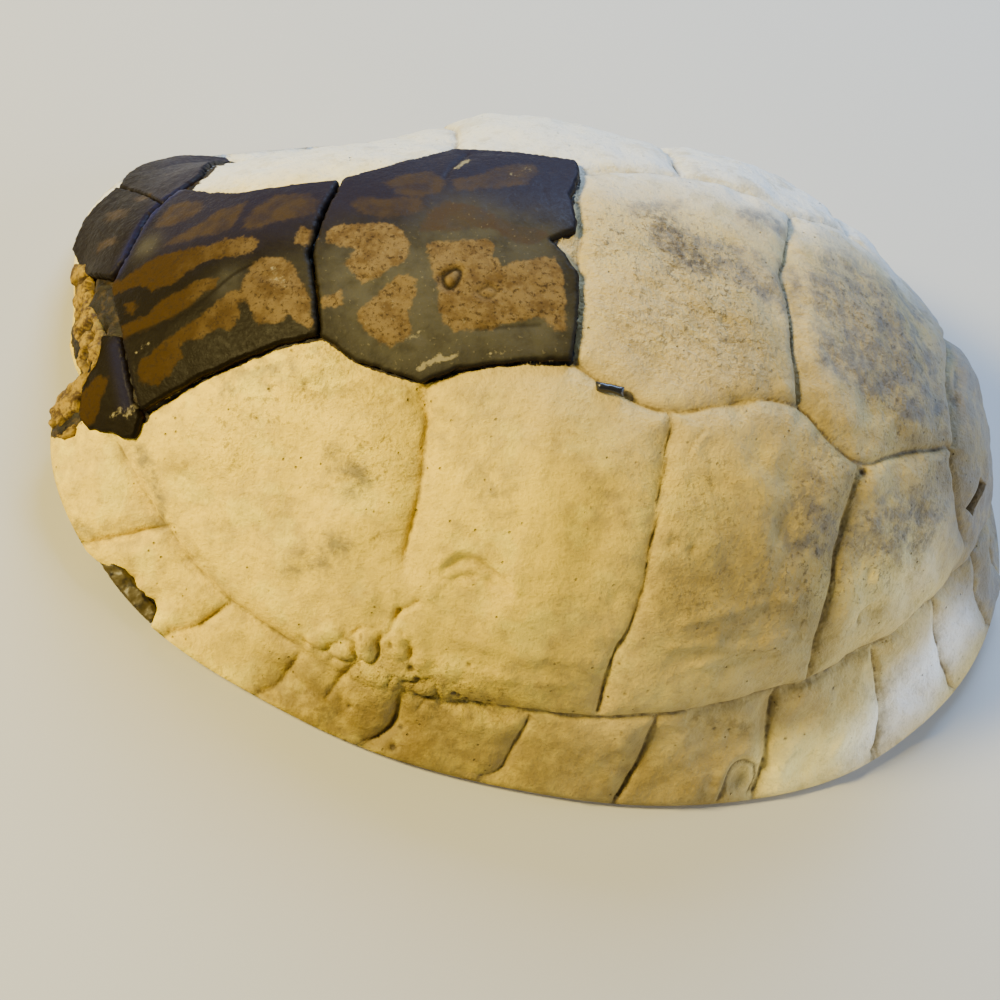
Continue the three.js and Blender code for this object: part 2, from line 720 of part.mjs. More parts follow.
function slotCutter() {
  const [degrees, share] = SLOT_AT;
  const turn = degrees * DEG;
  const out = outwardNormal(turn, share);
  const down = outsidePoint(turn, share + 0.02).sub(outsidePoint(turn, share - 0.02)).normalize();
  const across = out.clone().cross(down);
  const box = new THREE.BoxGeometry(SLOT_LENGTH, SLOT_WIDTH, 4 * RIM_WALL);
  box.rotateZ(SLOT_TURN * DEG);
  box.applyMatrix4(new THREE.Matrix4().makeBasis(down, across, out));
  const at = outsidePoint(turn, share);
  box.translate(at.x, at.y, at.z);
  return box;
}

const bone = new THREE.MeshStandardMaterial({ color: 0xd9c9a0, roughness: 0.75, metalness: 0 });
const keratin = new THREE.MeshStandardMaterial({ color: 0x4a4130, roughness: 0.42, metalness: 0 });
const crust = new THREE.MeshStandardMaterial({ color: 0x8a6f36, roughness: 0.8, metalness: 0 });

function namedMesh(name, geometry, material) {
  const mesh = new THREE.Mesh(geometry, material);
  mesh.name = name;
  return mesh;
}

const carapace = geometryOf(solidOf(boneGeometry()).subtract(solidOf(slotCutter())));

const flap = plateGeometry(turnOutline(FLAP_CORNERS), -FLAP_DEPTH - FLAP_THICKNESS, FLAP_THICKNESS);
const splinter = plateGeometry(planOutline(SPLINTER_OUTLINE), SCUTE_GAP, SPLINTER_THICKNESS);
const edgeCrust = plateGeometry(turnOutline(CRUST_CORNERS), SCUTE_GAP, CRUST_THICKNESS, crustHeight);

const shell = new THREE.Group();
shell.add(namedMesh('carapace', carapace, bone));
Object.entries(SCUTE_OUTLINES).forEach(([name, corners]) => {
  const scute = plateGeometry(planOutline(corners), SCUTE_GAP, SCUTE_THICKNESS);
  shell.add(namedMesh(name, scute, keratin));
});
shell.add(namedMesh('scute_marginal_left_2', flap, keratin));
shell.add(namedMesh('scute_splinter', splinter, keratin));
shell.add(namedMesh('edge_crust', edgeCrust, crust));

export default shell;
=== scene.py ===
"""Box turtle shell: dense bone and keratin surfaces, their materials, soft light and the camera.

Lengths are worked out in millimetres, as in the part's own frame: head end towards -X, the
turtle's left side towards -Y, +Z up. They become metres when a mesh is made.
"""

import math

import bpy
import numpy as np
from mathutils import Matrix, Vector
from mathutils.geometry import delaunay_2d_cdt


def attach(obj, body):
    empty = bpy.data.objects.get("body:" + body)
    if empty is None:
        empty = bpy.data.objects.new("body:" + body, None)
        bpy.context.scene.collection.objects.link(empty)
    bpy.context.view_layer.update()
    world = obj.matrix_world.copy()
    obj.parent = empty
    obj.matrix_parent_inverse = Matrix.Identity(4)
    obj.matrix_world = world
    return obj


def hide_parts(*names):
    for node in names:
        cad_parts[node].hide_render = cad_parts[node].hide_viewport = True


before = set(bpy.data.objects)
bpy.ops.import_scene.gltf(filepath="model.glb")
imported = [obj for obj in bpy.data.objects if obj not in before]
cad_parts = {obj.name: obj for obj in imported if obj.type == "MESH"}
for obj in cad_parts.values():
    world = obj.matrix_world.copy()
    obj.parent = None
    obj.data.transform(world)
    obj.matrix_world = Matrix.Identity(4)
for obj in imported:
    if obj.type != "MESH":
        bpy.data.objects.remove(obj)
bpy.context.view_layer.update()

MM = 0.001
DEG = math.pi / 180

# Rim in plan: two half ovals that meet at the widest place, behind the middle
MIDDLE_X = 3.8
REAR_REACH = 65.6
FRONT_REACH = 75.2
HALF_WIDTH = 52.8
REAR_FULLNESS = 2.05
FRONT_FULLNESS = 2.32

# Dome, with lists of five from the rear by 45, 90 and 135 degrees to the head end
APEX_X = 7.2
HEIGHT = 49.2
RING = 0.8
BAND_WIDTH = (0.13, 0.18, 0.11, 0.1, 0.06)
BAND_RISE = (12.5, 14.5, 9.4, 3.9, 11.1)
DOME_EDGE = (86, 78, 76, 65, 55)
DOME_FILL = (-0.03, 0.065, -0.055, -0.035, -0.09)
CREASE_SOFTENING = 0.06

# Rim edge
FRONT_LIFT = 4.9
REAR_LIFT = 2.5
REST_SPAN = 0.35
LIP_HEIGHT = 0.8
LIP_START = 0.8
LIP_END = 3.2

# Swells and hollows: direction in degrees, share of the way from apex to rim, height
SWELL_TURN = 0.22
SWELL_SHARE = 0.22
SWELL_SIDEWAYS = 60
SWELLS = (
    (26, 0.75, -0.8), (89, 0.7, -1.5), (109, 0.7, 1.6), (129, 0.75, -1.4),
    (146, 0.9, 3), (160, 1, 1.2), (180, 1, -3.3),
    (-120, 1, -1.1), (-52, 1, 0.8), (-29, 1, 0.7), (-11, 1, 0.7),
)

# Inside of the bone
WALL = 2.4
RIM_WALL = 3
INSIDE_END = 0.93
INSIDE_RISE = 15
SPINE_FROM = -52
SPINE_TO = 46
SPINE_HEIGHT = 3.2
SPINE_HALF_WIDTH = 3
SPINE_FADE = 6
RIB_SPACING = 12.4
RIB_HEIGHT = 0.7
RIB_FROM = 3
RIB_TO = 36
RIB_FADE_IN = 2
RIB_FADE_OUT = 14
RIB_SHARPNESS = 6
THICKER_FROM = 0.6
THICKER_WIDTH = 0.2
INSIDE_LUMPS = ((3, 0.12),)

# Broken places at the head end and in the left rim: direction in degrees, and how far the rim is
# bitten away there
BITE = (
    (-179.5, 0), (-177, 1.2), (-175, 2.6), (-173, 2.6), (-171.2, 0.6), (-170, 0), (-148, 0),
    (-146, 0.6), (-144, 2.8), (-142.5, 3.4), (-140.5, 2.2), (-138.5, 3.4), (-137, 2.6), (-135, 0),
)
BITE_SHARE = 0.86

# Slot through the bone near the tail: direction in degrees and share, sizes, and slant in degrees
SLOT_AT = (-14, 0.73)
SLOT_WIDTH = 3.4
SLOT_LENGTH = 4.8
SLOT_TURN = 112

# Routes of the grooves in plan
VERTEBRAL_LEFT = (
    (-58.3, -17.5), (-52, -15), (-47.7, -13.8), (-43.5, -12.7), (-38.8, -11.9), (-34.1, -15.4),
    (-25.9, -18), (-18.7, -16), (-8.8, -15.1), (-5.3, -17.1), (-0.1, -18.9), (4.2, -19.9),
    (10, -17.8), (20.7, -14.6), (25.8, -17.8), (31.4, -19.2), (38, -14.9), (47.4, -9.1),
    (47.9, -11.7), (50.6, -13.8), (55.3, -15),
)
VERTEBRAL_RIGHT = (
    (-57, 17.4), (-50.3, 12.6), (-45.6, 11.7), (-38.4, 11.8), (-31.2, 14.9), (-24.4, 18.6),
    (-15.9, 17.3), (-9.2, 15.4), (-4.5, 16.6), (4.9, 18.4), (11, 18.4), (21.2, 17), (26, 18.5),
    (31.4, 19.2), (38, 14.9), (47.4, 9.1), (50.6, 13.4), (55.3, 15),
)
CROSS_GROOVES = (
    ((-38.8, -11.9), (-40.2, -7.1), (-41.6, -1), (-40.3, 6), (-38.4, 11.8)),
    ((-8.8, -15.1), (-9.6, -8), (-9.4, 0), (-9.6, 8), (-9.2, 15.4)),
    ((20.7, -14.6), (19.2, -7.4), (18.5, -2.2), (17.3, 2.4), (18.9, 8.2), (21.2, 17)),
    ((47.4, -9.1), (46.5, -3.2), (45.8, 0), (46.5, 4), (47.4, 9.1)),
)
COSTAL_LEFT = (
    ((-25.9, -18), (-24.4, -25.1), (-23.7, -31), (-24, -34.1), (-23, -39), (-22.6, -43.2)),
    ((4.2, -19.9), (4.7, -25.8), (5.4, -34.4), (5.8, -38.5), (4.7, -42.9), (5.5, -46.5)),
    ((31.4, -19.2), (30.7, -23.8), (31.3, -30.2), (31.7, -34.1), (33.5, -37.5)),
)
COSTAL_RIGHT = (
    ((-24.4, 18.6), (-22.1, 34), (-22.6, 43.2)),
    ((4.9, 18.4), (5.7, 31.4), (5.5, 46.5)),
    ((31.4, 19.2), (30.7, 23.8), (31.3, 30.2), (33.5, 37.5)),
)
MARGINAL_LEFT = (
    ((-52.9, -29.2), (-57.2, -29.3), (-62, -29.6)),
    ((-43.4, -36.8), (-47.5, -39.1), (-52.3, -40.2)),
    ((-33.2, -41), (-33.8, -42.6), (-35.4, -45.3), (-40, -46.5)),
    ((-21, -44.4), (-19.1, -47.6), (-21, -49.7), (-25.3, -50.6)),
    ((-2.7, -47.2), (-3.6, -49.7), (-4.3, -51.3), (-8.8, -53)),
    ((13.3, -45.6), (13.6, -47.2), (13.3, -49.6), (11.6, -53)),
    ((29.3, -39.9), (31.1, -43.8), (31.8, -45.7), (31.3, -49)),
    ((43.1, -31.2), (45.4, -32.5), (47.9, -34.9), (48.9, -37.1), (48.6, -40)),
)
STRAIGHT_MARGINALS = (-30, -17, -7, 0, 6, 17, 30, 174, -175)

# Slight waves of the groove around the dome, in shares, and of the straight ones, in radians
RING_GROOVE_WAVE = 0.004
RING_GROOVE_RADIUS = 40
RING_GROOVE_WAVE_SIZE = 4
MARGINAL_WAVE = 0.01
MARGINAL_WAVE_RATE = 25

# Groove section: a narrow cut in a shallow trough, between slightly pillowed fields
CUT_DEPTH = 0.5
CUT_REACH = 0.4
TROUGH_DEPTH = 0.42
TROUGH_REACH = 1.6
PILLOW_HEIGHT = 0.45
PILLOW_REACH = 4
STEP_HEIGHT = 0.4
STEP_REACH = 3
STEP_SIDES = (14, 18)
GROOVE_VARIATION = 0.35
GROOVE_VARIATION_SIZE = 9
HEALED_FILL = 3
WOBBLE = 0.25
WOBBLE_SIZE = 3
MARK_WOBBLE = 0.1
MARK_STEP = 0.6

# Natural unevenness of the bone: size of the lumps and their height, which grows towards the tail
UNEVENNESS = ((13, 0.35), (6, 0.32), (3, 0.23), (1.4, 0.1))
REAR_ROUGHNESS = 1.5
SMOOTH_UP_TO = -5
ROUGH_FROM = 25

# Lobes where the bone healed: height, reach and route in plan
LOBE_FULLNESS = 0.65
LOBES = (
    (1, 1.5, ((-25.7, -41.1), (-25.4, -42.4))), (0.8, 1.9, ((-22.2, -40.9), (-21.8, -42))),
    (0.75, 1.6, ((-28.2, -42),)), (0.5, 1.7, ((-30, -40.3),)), (0.4, 1.5, ((-31.8, -41),)),
    (0.9, 3.6, ((-23.6, -45.2), (-22.9, -46.4))), (0.5, 1, ((-20.9, -45),)),
    (0.4, 1.4, ((-18.4, -43.1),)), (0.5, 1.5, ((-17, -45.5), (-16.2, -45.4))),
    (0.3, 1.6, ((-14.6, -44.2),)), (0.35, 2, ((-26.8, -37.9),)), (0.35, 2.2, ((-20.6, -37.6),)),
    (0.6, 3, ((-30.8, -44.6), (-29.6, -46))),
)
# Marks in the bone: height, reach, how dirty, route in plan. A single place makes a round mark.
LOBE_CREASES = (
    (-0.59, 0.4, 0.26, ((-27.1, -40.6), (-26.4, -40.1), (-25, -41), (-24.1, -41.8), (-23.8, -42.6),
                        (-24.6, -43.2), (-26.1, -42.8), (-26.7, -42.3), (-26.6, -41.5))),
    (-0.59, 0.4, 0.24, ((-21.8, -40.6), (-20.7, -41.5), (-20, -42.3), (-19.7, -42.8))),
    (-0.59, 0.4, 0.24, ((-24, -41.2), (-23.7, -40.8), (-22.8, -40.4), (-22.8, -39.3))),
    (-0.52, 0.42, 0.24, ((-29.3, -42.5), (-27.7, -42.8), (-26.7, -42.8))),
    (-0.52, 0.42, 0.29, ((-25.7, -43.1), (-27.1, -43.6), (-28.5, -45.4))),
    (-0.52, 0.42, 0.24, ((-32.9, -41.1), (-32.1, -41.3), (-31, -41.9), (-30.3, -41.8), (-29, -41.4))),
    (-0.52, 0.42, 0.24, ((-22.8, -39.3), (-21.6, -39.1), (-20.9, -38.7))),
    (-0.3, 0.6, 0.2, ((-19.7, -45.3), (-19.2, -46.6), (-19.3, -48.1), (-20.9, -49.7),
                      (-22.1, -50.6))),
    (-0.45, 0.37, 0.29, ((-21.7, -45), (-21.7, -44.5), (-21.4, -44.5))),
    (-0.65, 0.45, 0.38, ((-20.1, -44.9), (-18.3, -45.1), (-17.2, -44.8), (-16.8, -44.7),
                        (-15.8, -45.2), (-15.3, -46), (-16, -46.2), (-17.9, -46))),
    (-0.45, 0.37, 0.29, ((-15.1, -46.1), (-14.4, -46.8))),
    (-0.45, 0.37, 0.29, ((-16.3, -46.1), (-17, -46.8))),
    (-0.65, 0.53, 0.38, ((-13.6, -46.5), (-10.2, -46.9), (-7.3, -47.4), (-3.7, -47.2))),
)
DARK_PITS = (
    (-0.6, 0.55, 0.9, ((-19.5, -43.9),)), (-0.6, 0.5, 0.9, ((-18.4, -44.7),)),
    (-0.6, 0.5, 0.9, ((-13.3, -45.9),)), (-0.5, 0.45, 0.9, ((-12.6, -46.1),)),
    (-0.5, 0.45, 0.8, ((-11.6, -46.4),)), (-0.4, 0.4, 0.7, ((-12.6, -43.5),)),
    (-0.5, 0.5, 0.7, ((-22.5, -41.6),)), (-0.4, 0.45, 0.7, ((-26.3, -40.7),)),
    (-0.4, 0.4, 0.8, ((-10.1, -46.8),)), (-0.4, 0.4, 0.8, ((-8.7, -46.6),)),
    (-0.4, 0.45, 0.7, ((-25.5, -46.2),)), (-0.5, 0.55, 0.9, ((-18.8, -50.3),)),
    (-0.2, 0.5, 0.7, ((-18.4, -48.2),)), (-0.8, 0.7, 0.9, ((32.2, -19.3),)),
    (-0.6, 0.7, 0.35, ((10.5, -32.7),)), (-0.5, 0.7, 0.3, ((7.6, -32.6),)),
    (-0.3, 0.6, 0.2, ((9.3, -7.3),)), (-0.15, 0.35, 0.8, ((24.5, -44.2),)),
    (-0.15, 0.35, 0.8, ((22.3, -44.7),)), (-0.15, 0.3, 0.8, ((9.3, -47.2),)),
    (-0.15, 0.3, 0.8, ((37.8, -36.5),)), (-0.15, 0.3, 0.8, ((32.9, -42.4),)),
    (-0.15, 0.3, 0.7, ((7.7, -44.7),)), (-0.15, 0.3, 0.7, ((10.4, -44),)),
    (-0.15, 0.3, 0.7, ((5.7, -42.7),)), (-0.1, 0.35, 0.8, ((-42, -13.6),)),
)
CRATERS = (
    (-0.7, 2.4, 0.08, ((-16.6, -36.2), (-13.4, -37.2))),
    (0.5, 0.9, 0, ((-19.4, -35.7), (-17.7, -34.3), (-15.2, -34.9), (-12.1, -36.3))),
    (-0.35, 0.5, 0.18, ((-18.9, -36), (-17.4, -35.2), (-15.2, -35.7), (-12.3, -37.1),
                        (-10.5, -38.2))),
    (0.4, 0.6, 0, ((-18, -36.6), (-16, -36.4), (-14, -37))),
    (-0.3, 0.5, 0.18, ((-17.6, -37), (-14.7, -36.8), (-12.9, -37.8))),
    (0.4, 0.8, 0, ((-10.6, -36.8), (-9.6, -37.9))),
    (-0.3, 1, 0.1, ((2.4, -38.2),)),
    (-0.8, 1.5, 0.1, ((39.2, -29.8),)),
    (-0.4, 0.45, 0.5, ((37.7, -31.1), (37.5, -30.4), (38.6, -29.6))),
    (-1.3, 1.8, 0.05, ((28.7, -47.2),)),
    (-0.35, 0.4, 0.6, ((26.2, -49.5), (26.2, -47.9), (26.4, -46.6), (28, -45.7), (30, -45.7),
                       (31.2, -46.7), (30.6, -48.3))),
    (0.25, 0.8, 0, ((25.3, -48.8), (25.5, -46.8), (27.4, -45), (30.4, -44.9))),
    (-0.5, 1.1, 0.15, ((28.4, -40.9), (31.5, -45.6))),
)
FAINT_LINES = (
    (0.22, 0.6, 0, ((7.9, -23.4), (8.3, -22.2), (9, -21.4))),
    (-0.2, 0.4, 0.35, ((7.2, -23.6), (7.6, -22), (8.6, -20.9))),
    (-0.15, 0.35, 0.35, ((2.1, -40.5), (3.5, -42), (4.7, -42.8))),
    (-0.12, 0.4, 0.25, ((-10.7, -2), (-7.2, -1.2), (-0.6, 1))),
    (-0.14, 0.35, 0.4, ((22.5, -9.1), (23.3, -9.3), (23.8, -8.3))),
    (-0.1, 0.35, 0.5, ((-32.2, -24.8), (-31.1, -24))),
    (-0.1, 0.35, 0.5, ((-31.9, -23.8), (-31.3, -25.1))),
    (-0.1, 0.35, 0.5, ((-28.1, -33.2), (-27.3, -32.8))),
    (0.42, 0.8, 0, ((11.5, -40.6), (15, -39.7), (19.4, -39.1), (23.4, -37.5), (29, -34.9))),
    (0.36, 0.8, 0, ((11.6, -38.8), (19.1, -36.1), (25.9, -33.6))),
    (0.42, 0.8, 0, ((16.2, -41), (22.4, -38.4), (28.9, -35.8))),
    (0.25, 0.8, 0, ((-16, -43.2), (-8, -44.6), (0, -44.6))),
    (0.22, 0.8, 0, ((-15, -41.5), (-8, -42.8), (0, -42.8))),
    (-0.45, 2.2, 0, ((12.5, -26.8), (14.5, -27.4))), (0.45, 2, 0, ((16.5, -24.5), (19, -25.5))),
    (-0.5, 1.8, 0.1, ((22.5, -27.5), (23.5, -31))), (0.25, 2, 0, ((19.5, -31.5),)),
    (-0.25, 1.5, 0, ((-2, -28), (-1.2, -33))), (0.22, 2.5, 0, ((0.8, -24.5),)),
    (-0.45, 1, 0.1, ((36.2, -27.8),)), (0.45, 1.6, 0, ((41.5, -24.5),)),
    (0.3, 1.5, 0, ((36.5, -23.5), (38, -20.5))), (-0.3, 1.2, 0.2, ((40.5, -27.3), (42.5, -25.4))),
    (0.25, 2.2, 0, ((34.6, -31.5),)), (-0.3, 1.2, 0.15, ((31.5, -17),)),
    (-0.25, 1, 0.2, ((27.5, -16.6),)),
    (-0.14, 0.9, 0.1, ((34.4, -11.6), (35.6, -10), (36.9, -10.9), (35.6, -12))),
    (-0.14, 0.8, 0.1, ((30, -12.6), (31, -11.3), (32, -12.1), (31, -13))),
    (-0.35, 1, 0.45, ((47.6, 1.6), (47.4, -3.2))),
)
# Healed place where the grooves fade out between the lobes
HEALED = (
    (1, 2.6, ((-30.5, -42), (-26, -43), (-21, -44), (-16.5, -45.4))),
    (0.7, 2.2, ((-23.6, -36.8), (-23, -41))),
)
BONE_MARKS = LOBE_CREASES + DARK_PITS + CRATERS + FAINT_LINES

# Colour of the bone in places: strength, reach and route in plan. The first list is painted shade, with
# a little darker bone in it.
PAINTED_SHADE_STROKES = (
    (0.7, 12, ((15, -30), (20, -27))), (0.4, 8, ((40, -24),)), (0.6, 10, ((32, 4), (36, -6))),
    (0.35, 10, ((8, -2),)), (0.6, 6, ((43, -12), (48, -10))), (0.6, 8, ((52, -8), (56, 4))),
    (0.45, 5, ((-29, -21), (-26, -30), (-27, -37))), (0.8, 7, ((60, -14), (66, 0), (64, 12))),
    (1, 5.5, ((-33, -45), (-24, -48), (-17, -49.5))), (0.7, 5, ((-10, -50.5), (12, -51))),
    (0.4, 5, ((-14, -42), (0, -44.5))), (0.6, 6, ((9, -40), (26, -36))),
    (0.3, 4, ((-46, -38), (-36, -42))), (0.7, 5, ((-4, -29), (-3.5, -38), (-2, -43))),
    (0.55, 5, ((18, -13), (14, -8.6))), (0.45, 5, ((31, -11), (35, -4))),
    (0.45, 5, ((33.6, 9.2), (28, 14))), (0.35, 4, ((-18.6, -47.4), (-13.6, -47.2))),
    (0.7, 3.2, ((31, -21), (30.4, -30), (32, -36))), (0.4, 7, ((14, -36), (24, -32))),
)
GREY_STAINS = (
    (1, 4.6, ((25, 1.5), (32, -0.5), (38, -3))), (0.9, 4, ((26, -7), (36, -7))),
    (0.8, 2.2, ((37.5, 10.5), (40, 8.5))), (0.7, 2.6, ((13.2, 10.5), (17, 11.5))),
    (1, 3, ((2.5, 3.5), (6, 1.5), (12, 1.8), (16, 0))), (0.4, 2, ((-2.5, 7.8), (3.6, 10.3))),
    (0.5, 3.2, ((24, -25.5), (29, -27))), (0.45, 3, ((24.6, -29.1),)),
    (0.65, 3, ((-33.5, -26), (-31.5, -27.5))), (0.4, 3, ((-32, -33), (-35.5, -34.5))),
    (0.55, 1.6, ((-57.8, -21.5), (-55.2, -25.5), (-54, -28.8))), (0.4, 6, ((28, 8), (38, 2), (42, -6))),
    (0.6, 6, ((36, -24), (43, -20))), (0.35, 2.5, ((24.4, -21.9),)), (0.3, 3, ((-1.5, -29.5),)),
    (0.35, 4, ((-48, -16.5), (-40, -15))), (0.3, 4, ((-17, -28), (-14, -31))),
    (0.4, 1.4, ((17.8, 4), (18.6, -4), (19.8, -12))), (0.5, 1.2, ((-63.4, -27.4), (-60.3, -29.8))),
)
TAN_STAINS = (
    (0.2, 5, ((-54, -32), (-44, -38))),
    (0.35, 3, ((12.8, -29.1), (16.1, -29.6))), (0.4, 3, ((-4.6, -32.5),)),
    (0.4, 3.4, ((-8.3, -24.1),)), (0.5, 3, ((-52.2, -23.8),)), (0.5, 2.6, ((22, -14.1),)),
    (0.5, 2.6, ((25.6, -16),)), (0.5, 2.4, ((37.3, -11.9),)), (0.45, 3.5, ((-16, -36),)),
    (0.5, 3.5, ((-22, -45), (-12, -46), (0, -47))), (1, 5, ((-32, -46), (-18, -49.5))),
    (0.6, 5, ((-14, -50), (0, -50.5), (14, -50), (24, -49))), (0.35, 5, ((8, -36), (24, -34))),
    (0.35, 4, ((-30, -19), (-22, -20))),
)
SMUDGES = (
    (0.8, 2.2, ((0.2, 6.8), (1.8, 5), (3.1, 3.4))), (0.8, 2.2, ((3.1, -0.5), (6, 0.4))),
    (0.4, 4, ((-1, -10), (5, -7), (13, -12))), (0.4, 3, ((25, -18.5), (28, -20.5))),
    (0.4, 3, ((26, -6), (34, -9))), (0.6, 1.1, ((-63.2, -27.6), (-60.5, -29.6))),
    (0.35, 2, ((-40, -17.5), (-34, -19), (-28, -19.8))), (0.5, 1.6, ((19, -44.8), (27, -43.4))),
    (0.45, 1.6, ((-6.4, 0.5),)), (0.5, 1.5, ((-54.1, -28.4),)), (0.5, 1.6, ((-49.3, -31.6),)),
    (0.3, 1, ((-1.8, -12.3),)), (0.3, 1.1, ((0.1, -15.1),)), (0.3, 1, ((5.2, -10.5),)),
    (0.3, 1, ((9.6, -10.2),)), (0.25, 1, ((10.6, -17),)), (0.3, 1.2, ((6.9, -0.2),)),
    (0.35, 2.4, ((-32.5, -26.8),)), (0.5, 2, ((-20, -45.5), (-12, -46.4))),
    (0.4, 1.4, ((-27, -41.5), (-21, -42))),
)
# Lighter places towards the tail, partly bleached bone and partly painted light
BLEACHED_AND_LIT_PLACES = (
    (1, 5, ((34, -45), (42, -40.5), (50, -34), (60, -18))),
    (0.4, 7, ((36, -28), (42, -25))),
)
# Dark residue between the scutes, as strokes, and over the head end, as a closed outline
RESIDUE = (
    (1, 0.9, ((-40, -12), (-41.4, -6), (-41.6, -1), (-40.3, 6), (-38.7, 11.7))),
    (0.8, 0.4, ((-58, -17.4), (-52, -15.3), (-43.5, -13), (-39.2, -12.4))),
    (0.8, 0.4, ((-38.5, -12.6), (-34.1, -15.7), (-26.1, -18.3), (-22.6, -16.7), (-9.4, -15.2))),
    (0.8, 0.4, ((-9.1, -15), (-9.6, -4), (-12, -0.9), (-13.1, 0.4), (-10, 2.3), (-10.6, 8.2),
                (-9.1, 13.3), (-9.2, 16.3))),
    (1, 1.1, ((-66, 2.5), (-63, 9), (-60, 14.2), (-56.8, 17.2), (-52, 23), (-49.4, 33))),
    (1, 0.9, ((-62.4, 24.8), (-59.2, 15.2))),
    (1, 1, ((-64.5, -6.5), (-62.3, -9), (-60.3, -13.5), (-58.4, -18))),
)
RESIDUE_HEIGHT = 0.3
RESIDUE_CRUMBS = ((1.5, 0.5), (0.8, 0.35))
RESIDUE_FADE = 0.6
RESIDUE_CORNERS = (
    (163.5, 0.99), (162, 0.9), (166, 0.78), (176, 0.73), (-173, 0.72), (-168, 0.78),
    (-164.5, 0.86), (-163.5, 0.92), (-165.5, 0.99), (-172, 0.99), (180, 0.99),
)
SPECKLED = (
    (1, 6, ((-4, 3), (5, 2), (9, -3))), (0.6, 6, ((0, -9), (12, -12))), (0.5, 6, ((10, -28),)),
    (0.9, 8, ((30, 2), (38, 0), (36, -8))), (0.7, 7, ((38, -26),)),
    (0.6, 6, ((26, -22), (28, -30))), (0.5, 5, ((-48, -22), (-38, -15))), (0.6, 5, ((-30, -25),)),
    (0.8, 4, ((-24, -44), (-10, -46))), (0.4, 7, ((14, -36), (26, -32))), (0.5, 6, ((44, -16),)),
)

# Scutes: sizes, growth rings and edges, then outlines in plan
SCUTE_GAP = 0.12
SCUTE_SINK = 0.5
SCUTE_GROWTH = 0.3
COVER_FADE = 0.8
UNDER_SCUTES = 0.1
SCUTE_THICKNESS = 0.75
SCUTE_LUMPS = ((2.6, 0.07), (1, 0.03), (6, 0.1))
RING_HEIGHT = 0.012
RING_SPACING = 2.1
RING_FADE = 6
RING_WAVE = 2
RING_WAVE_SIZE = 5
EDGE_HEIGHT = 0.4
EDGE_ROUNDING = 0.4
EDGE_RAGGED = 0.16
EDGE_RAGGED_SIZE = 1.1
SCUTE_OUTLINES = {
    "scute_vertebral_1": (
        (-58.2, -17.1), (-52, -15), (-47.7, -13.8), (-43.5, -12.7), (-39.2, -12.1), (-40.4, -7.1),
        (-41.8, -1), (-40.6, 6), (-38.8, 11.6), (-45.6, 11.7), (-50.3, 12), (-53.6, 13.9),
        (-56.7, 16.9), (-60.6, 12.9), (-63.9, 5.6), (-66, 1.5), (-62.8, -7.2), (-60.8, -12),
    ),
    "scute_vertebral_2": (
        (-38.5, -12.3), (-34.1, -15.4), (-26.1, -18), (-22.6, -16.4), (-18.7, -15.9),
        (-9.4, -14.9), (-9.9, -4), (-12.3, -0.7), (-13.4, 0.4), (-10.3, 2.4), (-10.9, 8.2),
        (-9.4, 13.3), (-9.4, 16.3), (-15.9, 17.5), (-21.9, 18.4), (-24.4, 18.8), (-31.2, 14.9),
        (-37.9, 11.9), (-39.6, 6), (-40.8, -1), (-39.5, -7.1),
    ),
    "scute_marginal_right_1": (
        (-59.6, 14.9), (-61.3, 13.2), (-64.6, 6), (-66.6, 3.6), (-68.3, 7), (-69.3, 10.2),
        (-69.4, 14.6), (-67, 19.6), (-62.6, 24.7),
    ),
    "scute_marginal_right_2": (
        (-62.2, 25), (-61.2, 28.4), (-59.6, 31.9), (-55.4, 35.9), (-50, 37.2), (-49.2, 35),
        (-54, 20.9), (-56.9, 17.4), (-59.2, 15.2),
    ),
    "scute_marginal_left_1": (
        (-66.3, -6.3), (-63.3, -7.6), (-61.4, -12.2), (-59.3, -16.4), (-58.2, -18),
        (-58.8, -20), (-60.2, -19.6), (-61.9, -18.8), (-64.1, -17.5), (-65.4, -15.8),
        (-66.2, -12.6), (-66.4, -9.8),
    ),
}
SPLINTER_OUTLINE = ((-5.8, -17.2), (-2.3, -17.6), (-2.3, -18.7), (-5.6, -18.2))
SPLINTER_THICKNESS = 0.6
SPLINTER_ROUNDING = 0.25
PLAIN_LUMPS = ((1.3, 0.12), (0.5, 0.05))

# Crumbled keratin and the flap in the broken place: direction in degrees and share of the way
CRUST_CORNERS = (
    (169.5, 0.975), (171.3, 0.914), (174, 0.895), (179.3, 0.86), (-178.5, 0.828), (-175, 0.795),
    (-171.5, 0.798), (-169.5, 0.83), (-167.5, 0.858), (-164.6, 0.87), (-163.2, 0.893),
    (-163.4, 0.93), (-164.8, 0.965), (-166.8, 0.985), (-169, 0.985), (-170.6, 0.955),
    (-170.8, 0.905), (-171.8, 0.862), (-176.8, 0.9), (179.8, 0.965), (175.8, 0.975),
    (171.8, 0.985),
)
CRUST_GAP = 0.15
CRUST_THICKNESS = 0.7
CRUST_LUMPS = ((172, 0.95, 0.35), (-178, 0.9, 0.4), (-173, 0.83, 0.4), (-166.8, 0.92, 0.8))
CRUST_LUMP_TURN = 3.5
CRUST_LUMP_SHARE = 0.05
CRUST_COARSE = (2.1, 0.4)
CRUST_FINE = (0.9, 0.28)
CRUST_GRIT = (0.45, 0.1)
CRUST_HOLE_DEPTH = 0.9
CRUST_HOLE_FINE_SHARE = 0.3
CRUST_HOLE_RANGE = (0.15, 0.5)
FLAP_CORNERS = (
    (-146, 0.995), (-145, 0.95), (-142, 0.935), (-139, 0.935), (-136, 0.95), (-135.5, 0.995),
    (-139, 0.998), (-142, 0.998),
)
FLAP_DEPTH = 0.9
FLAP_THICKNESS = 0.8

